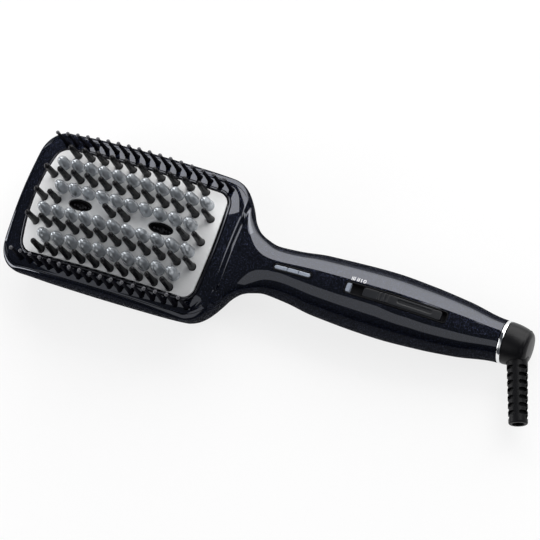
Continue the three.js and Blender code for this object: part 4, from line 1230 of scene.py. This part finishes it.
def flakes(tree):
    """Deep navy lacquer: a dark ground with sparse tilted flakes."""
    vector = object_coords(tree)
    cells = put(tree, "ShaderNodeTexVoronoi", {"Scale": 5200.0, "Vector": vector}).outputs["Color"]
    parts = put(tree, "ShaderNodeSeparateColor", {"Color": cells}).outputs
    picked = maths(tree, "GREATER_THAN", parts["Red"], 0.9)
    tint = two_tones(tree, parts["Green"], (0.013, 0.02, 0.045), (0.034, 0.038, 0.066))
    cloud = noise(tree, vector, 45, 2.0)
    ground = two_tones(tree, cloud, (0.0015, 0.0018, 0.0035), (0.0025, 0.003, 0.0055))
    blend = put(tree, "ShaderNodeMix", {"Factor": picked, 6: ground, 7: tint}, data_type="RGBA")
    tilt = vector_maths(tree, "SUBTRACT", cells, (0.5, 0.5, 0.5))
    lean = vector_maths(tree, "SCALE", tilt, Scale=maths(tree, "MULTIPLY", picked, 0.5))
    upright = put(tree, "ShaderNodeNewGeometry", {}).outputs["Normal"]
    return {
        "Base Color": blend.outputs[2],
        "Metallic": span(tree, picked, 0.0, 0.9),
        "Roughness": span(tree, parts["Blue"], 0.25, 0.45),
        "Normal": vector_maths(tree, "NORMALIZE", vector_maths(tree, "ADD", upright, lean)),
        "Specular IOR Level": 0.0,
    }


def clouded_black(tree):
    """Plain black with faint clouds."""
    cloud = noise(tree, object_coords(tree), 200, 2.0)
    tone = two_tones(tree, cloud, (0.004, 0.004, 0.006), (0.007, 0.007, 0.01))
    return {"Base Color": tone, "Roughness": 0.4, "Specular IOR Level": 0.0}


def brushed_plate(tree):
    """Satin aluminium with fine lines along the plate and faint cloudiness."""
    lines = noise(tree, object_coords(tree, (1, 22, 1)), 260, 5.0, 0.7)
    cloud = noise(tree, object_coords(tree), 60, 3.0)
    tone = span(tree, maths(tree, "ADD", lines, cloud), 0.0, 1.0, 0.6, 1.4)
    return {
        "Base Color": two_tones(tree, tone, (0.65, 0.655, 0.66), (0.73, 0.735, 0.74)),
        "Roughness": span(tree, lines, 0.38, 0.52),
        "Normal": bump(tree, lines, 0.12, 0.00003),
        "Metallic": 0.12,
    }


def pearly_metal(tree):
    """The cast studs: smooth, pearly grey with a clear coat."""
    cloud = noise(tree, object_coords(tree), 420, 3.0)
    return {
        "Base Color": two_tones(tree, cloud, (0.43, 0.46, 0.49), (0.49, 0.52, 0.55)),
        "Roughness": span(tree, cloud, 0.23, 0.27),
        "Metallic": 0.6,
        "Coat Weight": 0.2,
        "Coat Roughness": 0.15,
    }


def clear_plastic(tree):
    """A cloudy clear cover: pale, glossy, with faint inner mottling."""
    cloud = noise(tree, object_coords(tree), 700, 2.0)
    return {
        "Base Color": two_tones(tree, cloud, (0.2, 0.23, 0.28), (0.34, 0.37, 0.43)),
        "Roughness": span(tree, cloud, 0.12, 0.2),
        "Coat Weight": 0.6,
        "Coat Roughness": 0.05,
    }


def polished(tree, tone, rough):
    """Plated metal with faint fine turning lines."""
    lines = noise(tree, object_coords(tree, (30, 1, 1)), 300, 3.0)
    return {
        "Base Color": two_tones(tree, lines, tuple(0.92 * c for c in tone), tone),
        "Roughness": span(tree, lines, rough, rough + 0.05),
        "Metallic": 1.0,
    }


def circuit_board(tree):
    """A green circuit board with paler copper tracks under the lacquer."""
    inputs = {
        "Vector": object_coords(tree),
        "Scale": 260.0,
        "Mortar Size": 0.03,
        "Color1": (0.01, 0.09, 0.035, 1),
        "Color2": (0.012, 0.11, 0.04, 1),
        "Mortar": (0.05, 0.2, 0.07, 1),
    }
    bricks = put(tree, "ShaderNodeTexBrick", inputs).outputs
    relief = bump(tree, bricks["Fac"], 0.3, 0.00005)
    return {"Base Color": bricks["Color"], "Normal": relief, "Roughness": 0.4}


# Each plastic's two tones, roughness, grain and, where it isn't 0.5, shine
PLASTICS = {
    "pin_black": ((0.003, 0.003, 0.004), (0.006, 0.006, 0.007), 0.24, 1300, 0.15),
    "comb_tip": ((0.05, 0.05, 0.06), (0.08, 0.08, 0.09), 0.42, 1300),
    "satin_black": ((0.004, 0.004, 0.005), (0.007, 0.007, 0.008), 0.34, 1500, 0.18),
    "button_grey": ((0.009, 0.01, 0.012), (0.014, 0.015, 0.018), 0.36, 1600, 0.35),
    "relief_rubber": ((0.004, 0.004, 0.005), (0.007, 0.007, 0.008), 0.42, 1100, 0.12),
    "heat_plastic": ((0.09, 0.06, 0.035), (0.13, 0.09, 0.055), 0.7, 700),
    "ceramic": ((0.7, 0.68, 0.62), (0.8, 0.78, 0.72), 0.55, 600),
    "moulded_part": ((0.02, 0.021, 0.024), (0.03, 0.031, 0.035), 0.55, 900),
    "lamp_white": ((0.75, 0.74, 0.7), (0.85, 0.84, 0.8), 0.3, 800),
    "mark_grey": ((0.7, 0.7, 0.72), (0.8, 0.8, 0.82), 0.5, 1500),
}
# Each metal's lighter tone and roughness
METALS = {
    "chrome": ((0.86, 0.87, 0.88), 0.08),
    "metal_part": ((0.55, 0.56, 0.58), 0.3),
    # The ion needle's steel is painted nearly black: painted shade standing for the dark inside of
    # the outlet cup where the needle sits
    "needle_steel_painted_shade": ((0.05, 0.05, 0.055), 0.5),
    "screw_steel": ((0.5, 0.5, 0.51), 0.26),
}
OTHERS = {
    "plate_metal": brushed_plate,
    "studs": pearly_metal,
    "clear_grey": clear_plastic,
    "board_green": circuit_board,
}
GLOSSY = {"gloss_housing": flakes, "surround_black": clouded_black, "comb_black": clouded_black}

looks = {name: make_material(name, plastic, *values) for name, values in PLASTICS.items()}
looks |= {name: make_material(name, polished, *values) for name, values in METALS.items()}
looks |= {name: make_material(name, look) for name, look in OTHERS.items()}
looks |= {name: make_material(name, look, cover=clear_gloss) for name, look in GLOSSY.items()}

# Assembly


def dress(obj, slot_name, body, *nodes, look=None):
    """Gives a piece the material of its look, or of its slot name when no look is given, lets it
    ride on its body and stand for CAD nodes.
    """
    obj.data.materials.clear()
    obj.data.materials.append(looks[look or slot_name])
    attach(obj, body)
    if nodes:
        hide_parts(*nodes)


def build_head():
    for shell, side in zip(make_housings(), ("front", "rear")):
        dress(shell, "gloss_housing", "brush", f"{side}_housing")
    dress(make_plate(), "plate_metal", "brush", "heating_plate")
    dress(make_studs(), "plate_metal", "brush", look="studs")
    dress(make_surround(), "surround_black", "brush", "plate_surround")
    for i, row in enumerate(PIN_ROWS):
        strip = pin_strip(f"pins_row_{i + 1}", row_pins(*row))
        dress(strip, "pin_black", "brush", f"pin_strip_{i + 1}")
    for name in CENTRE_GROUPS:
        strip = pin_strip(f"pins_centre_{name}", centre_pins(name))
        dress(strip, "pin_black", "brush", f"pin_strip_centre_{name}")
    for side, name in ((-1, "left"), (1, "right")):
        stems, balls = make_comb(side, f"comb_{name}")
        dress(stems, "comb_black", "brush", f"side_comb_{name}")
        dress(balls, "comb_black", "brush", look="comb_tip")
    for side, name in ((-1, "front"), (1, "rear")):
        dress(make_outlet(side, f"outlet_{name}"), "pin_black", "brush", f"ion_outlet_{name}")
        ribs = outlet_ribs(side, f"outlet_ribs_{name}")
        dress(ribs, "pin_black", "brush", look="comb_tip")


def build_handle():
    dress(make_window_frame(), "satin_black", "brush", "indicator_bezel")
    dress(make_lens(), "clear_grey", "brush", "indicator_lens")
    dress(make_switch_frame(), "satin_black", "brush", "switch_bezel")
    dress(make_clear_end(), "clear_grey", "brush", "switch_clear_end")
    dress(make_button(), "button_grey", "slider", "slider_button")
    dress(make_marks(), "gloss_housing", "brush", look="mark_grey")
    for i, (x, y) in enumerate(screw_places()):
        node = f"head_screw_{i + 1}" if i < 4 else f"handle_screw_{i - 3}"
        dress(make_screw(x, y, f"back_screw_{i + 1}"), "screw_steel", "brush", node)
    dress(make_end_ring(), "chrome", "brush", "end_ring")
    dress(make_cap(), "satin_black", "swivel", "swivel_cap")
    dress(make_relief(), "relief_rubber", "swivel", "strain_relief")


# Slots of the kept CAD nodes, by how their names start; the rest are moulded parts
KEPT_SLOTS = {
    "heater_carrier": "heat_plastic",
    "ceramic_heater": "ceramic",
    "lamp_board": "board_green",
    "main_board": "board_green",
    "thermal_fuse": "metal_part",
    "heat_shield": "metal_part",
    "ion_needle": "metal_part",
    "slip_ring": "metal_part",
    "status_lamp": "lamp_white",
}


def dress_kept_nodes():
    """The CAD nodes inside the brush keep their own shape and get a finish of their own."""
    for name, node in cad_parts.items():
        if node.hide_render:
            continue
        fitting = [slot for start, slot in KEPT_SLOTS.items() if name.startswith(start)]
        kind = fitting[0] if fitting else "moulded_part"
        node.data.materials.clear()
        # Ion needles get the nearly black steel, painted shade of the outlet cup round them
        node.data.materials.append(looks["needle_steel_painted_shade" if name.startswith("ion_needle") else kind])


# Stage

FLOOR_HALF = 6
CAMERA_LENS = 171.678
CAMERA_PLACE = (526.8, -308.3, 1265.0)


def pale_matt(tree, tone):
    return {"Base Color": (tone, tone, tone, 1), "Roughness": 0.9, "Specular IOR Level": 0.0}


def part_white(tree, surface, white_share=0.78):
    """A floor that is seen part way to white, so that the shadows stay but are soft."""
    inputs = {"Color": (1, 1, 1, 1), "Strength": 1.0}
    white = put(tree, "ShaderNodeEmission", inputs).outputs["Emission"]
    ray = put(tree, "ShaderNodeLightPath", {}).outputs
    seen = maths(tree, "MAXIMUM", ray["Is Camera Ray"], ray["Is Glossy Ray"])
    seen = maths(tree, "MAXIMUM", seen, ray["Is Transmission Ray"])
    return mixed(tree, maths(tree, "MULTIPLY", seen, white_share), surface, white)


def make_stage():
    corners = [(-1, -1), (1, -1), (1, 1), (-1, 1)]
    mesh = bpy.data.meshes.new("floor")
    points = [(x * FLOOR_HALF, y * FLOOR_HALF, 0) for x, y in corners]
    mesh.from_pydata(points, [], [(0, 1, 2, 3)])
    mesh.materials.append(make_material("floor_white", pale_matt, 0.93, cover=part_white))
    floor = new_object("floor", mesh)


def soft_box(name, place, size, power, tone=(1, 1, 1)):
    """A rectangular light that looks at the middle of the brush."""
    data = bpy.data.lights.new(name, "AREA")
    data.shape = "RECTANGLE"
    data.size, data.size_y = size
    data.energy = power
    data.color = tone
    lamp = new_object(name, data)
    lamp.location = place
    towards = Vector((0, 0, 0.02)) - Vector(place)
    lamp.rotation_euler = towards.to_track_quat("-Z", "Y").to_euler()


def make_lights():
    soft_box("box_back", (0.0, 1.5, 0.8), (2.65, 1.75), 50, (1, 0.99, 0.98))
    soft_box("box_left", (-1.5, -0.55, 0.6), (1.3, 0.7), 18)
    soft_box("box_right", (1.7, -0.2, 0.4), (1.4, 0.5), 2.5)
    soft_box("box_shoulder", (0.72, 0.69, 1.26), (1.15, 0.8), 7.5)
    soft_box("box_front", (-0.51, -1.0, 1.66), (2.3, 1.15), 5.5)
    world = bpy.data.worlds.new("studio")
    world.use_nodes = True
    background = world.node_tree.nodes["Background"]
    background.inputs["Color"].default_value = (0.8, 0.85, 0.95, 1)
    background.inputs["Strength"].default_value = 0.08
    bpy.context.scene.world = world


def make_camera():
    data = bpy.data.cameras.new("camera")
    data.sensor_width = 36
    data.lens = CAMERA_LENS
    data.clip_end = 20
    camera = new_object("camera", data)
    right = Vector((0.9071, 0.3477, -0.2373))
    up = Vector((-0.2650, 0.9097, 0.3197))
    back = Vector((0.3271, -0.2271, 0.9173))
    axes = Matrix((right, up, back)).transposed().to_4x4()
    place = Vector(CAMERA_PLACE) * MM + Vector((ORIGIN_X, 0, 0))
    camera.matrix_world = Matrix.Translation(place) @ axes
    bpy.context.scene.camera = camera


build_head()
build_handle()
dress_kept_nodes()
make_stage()
make_lights()
make_camera()
bpy.context.scene.view_settings.view_transform = "Standard"
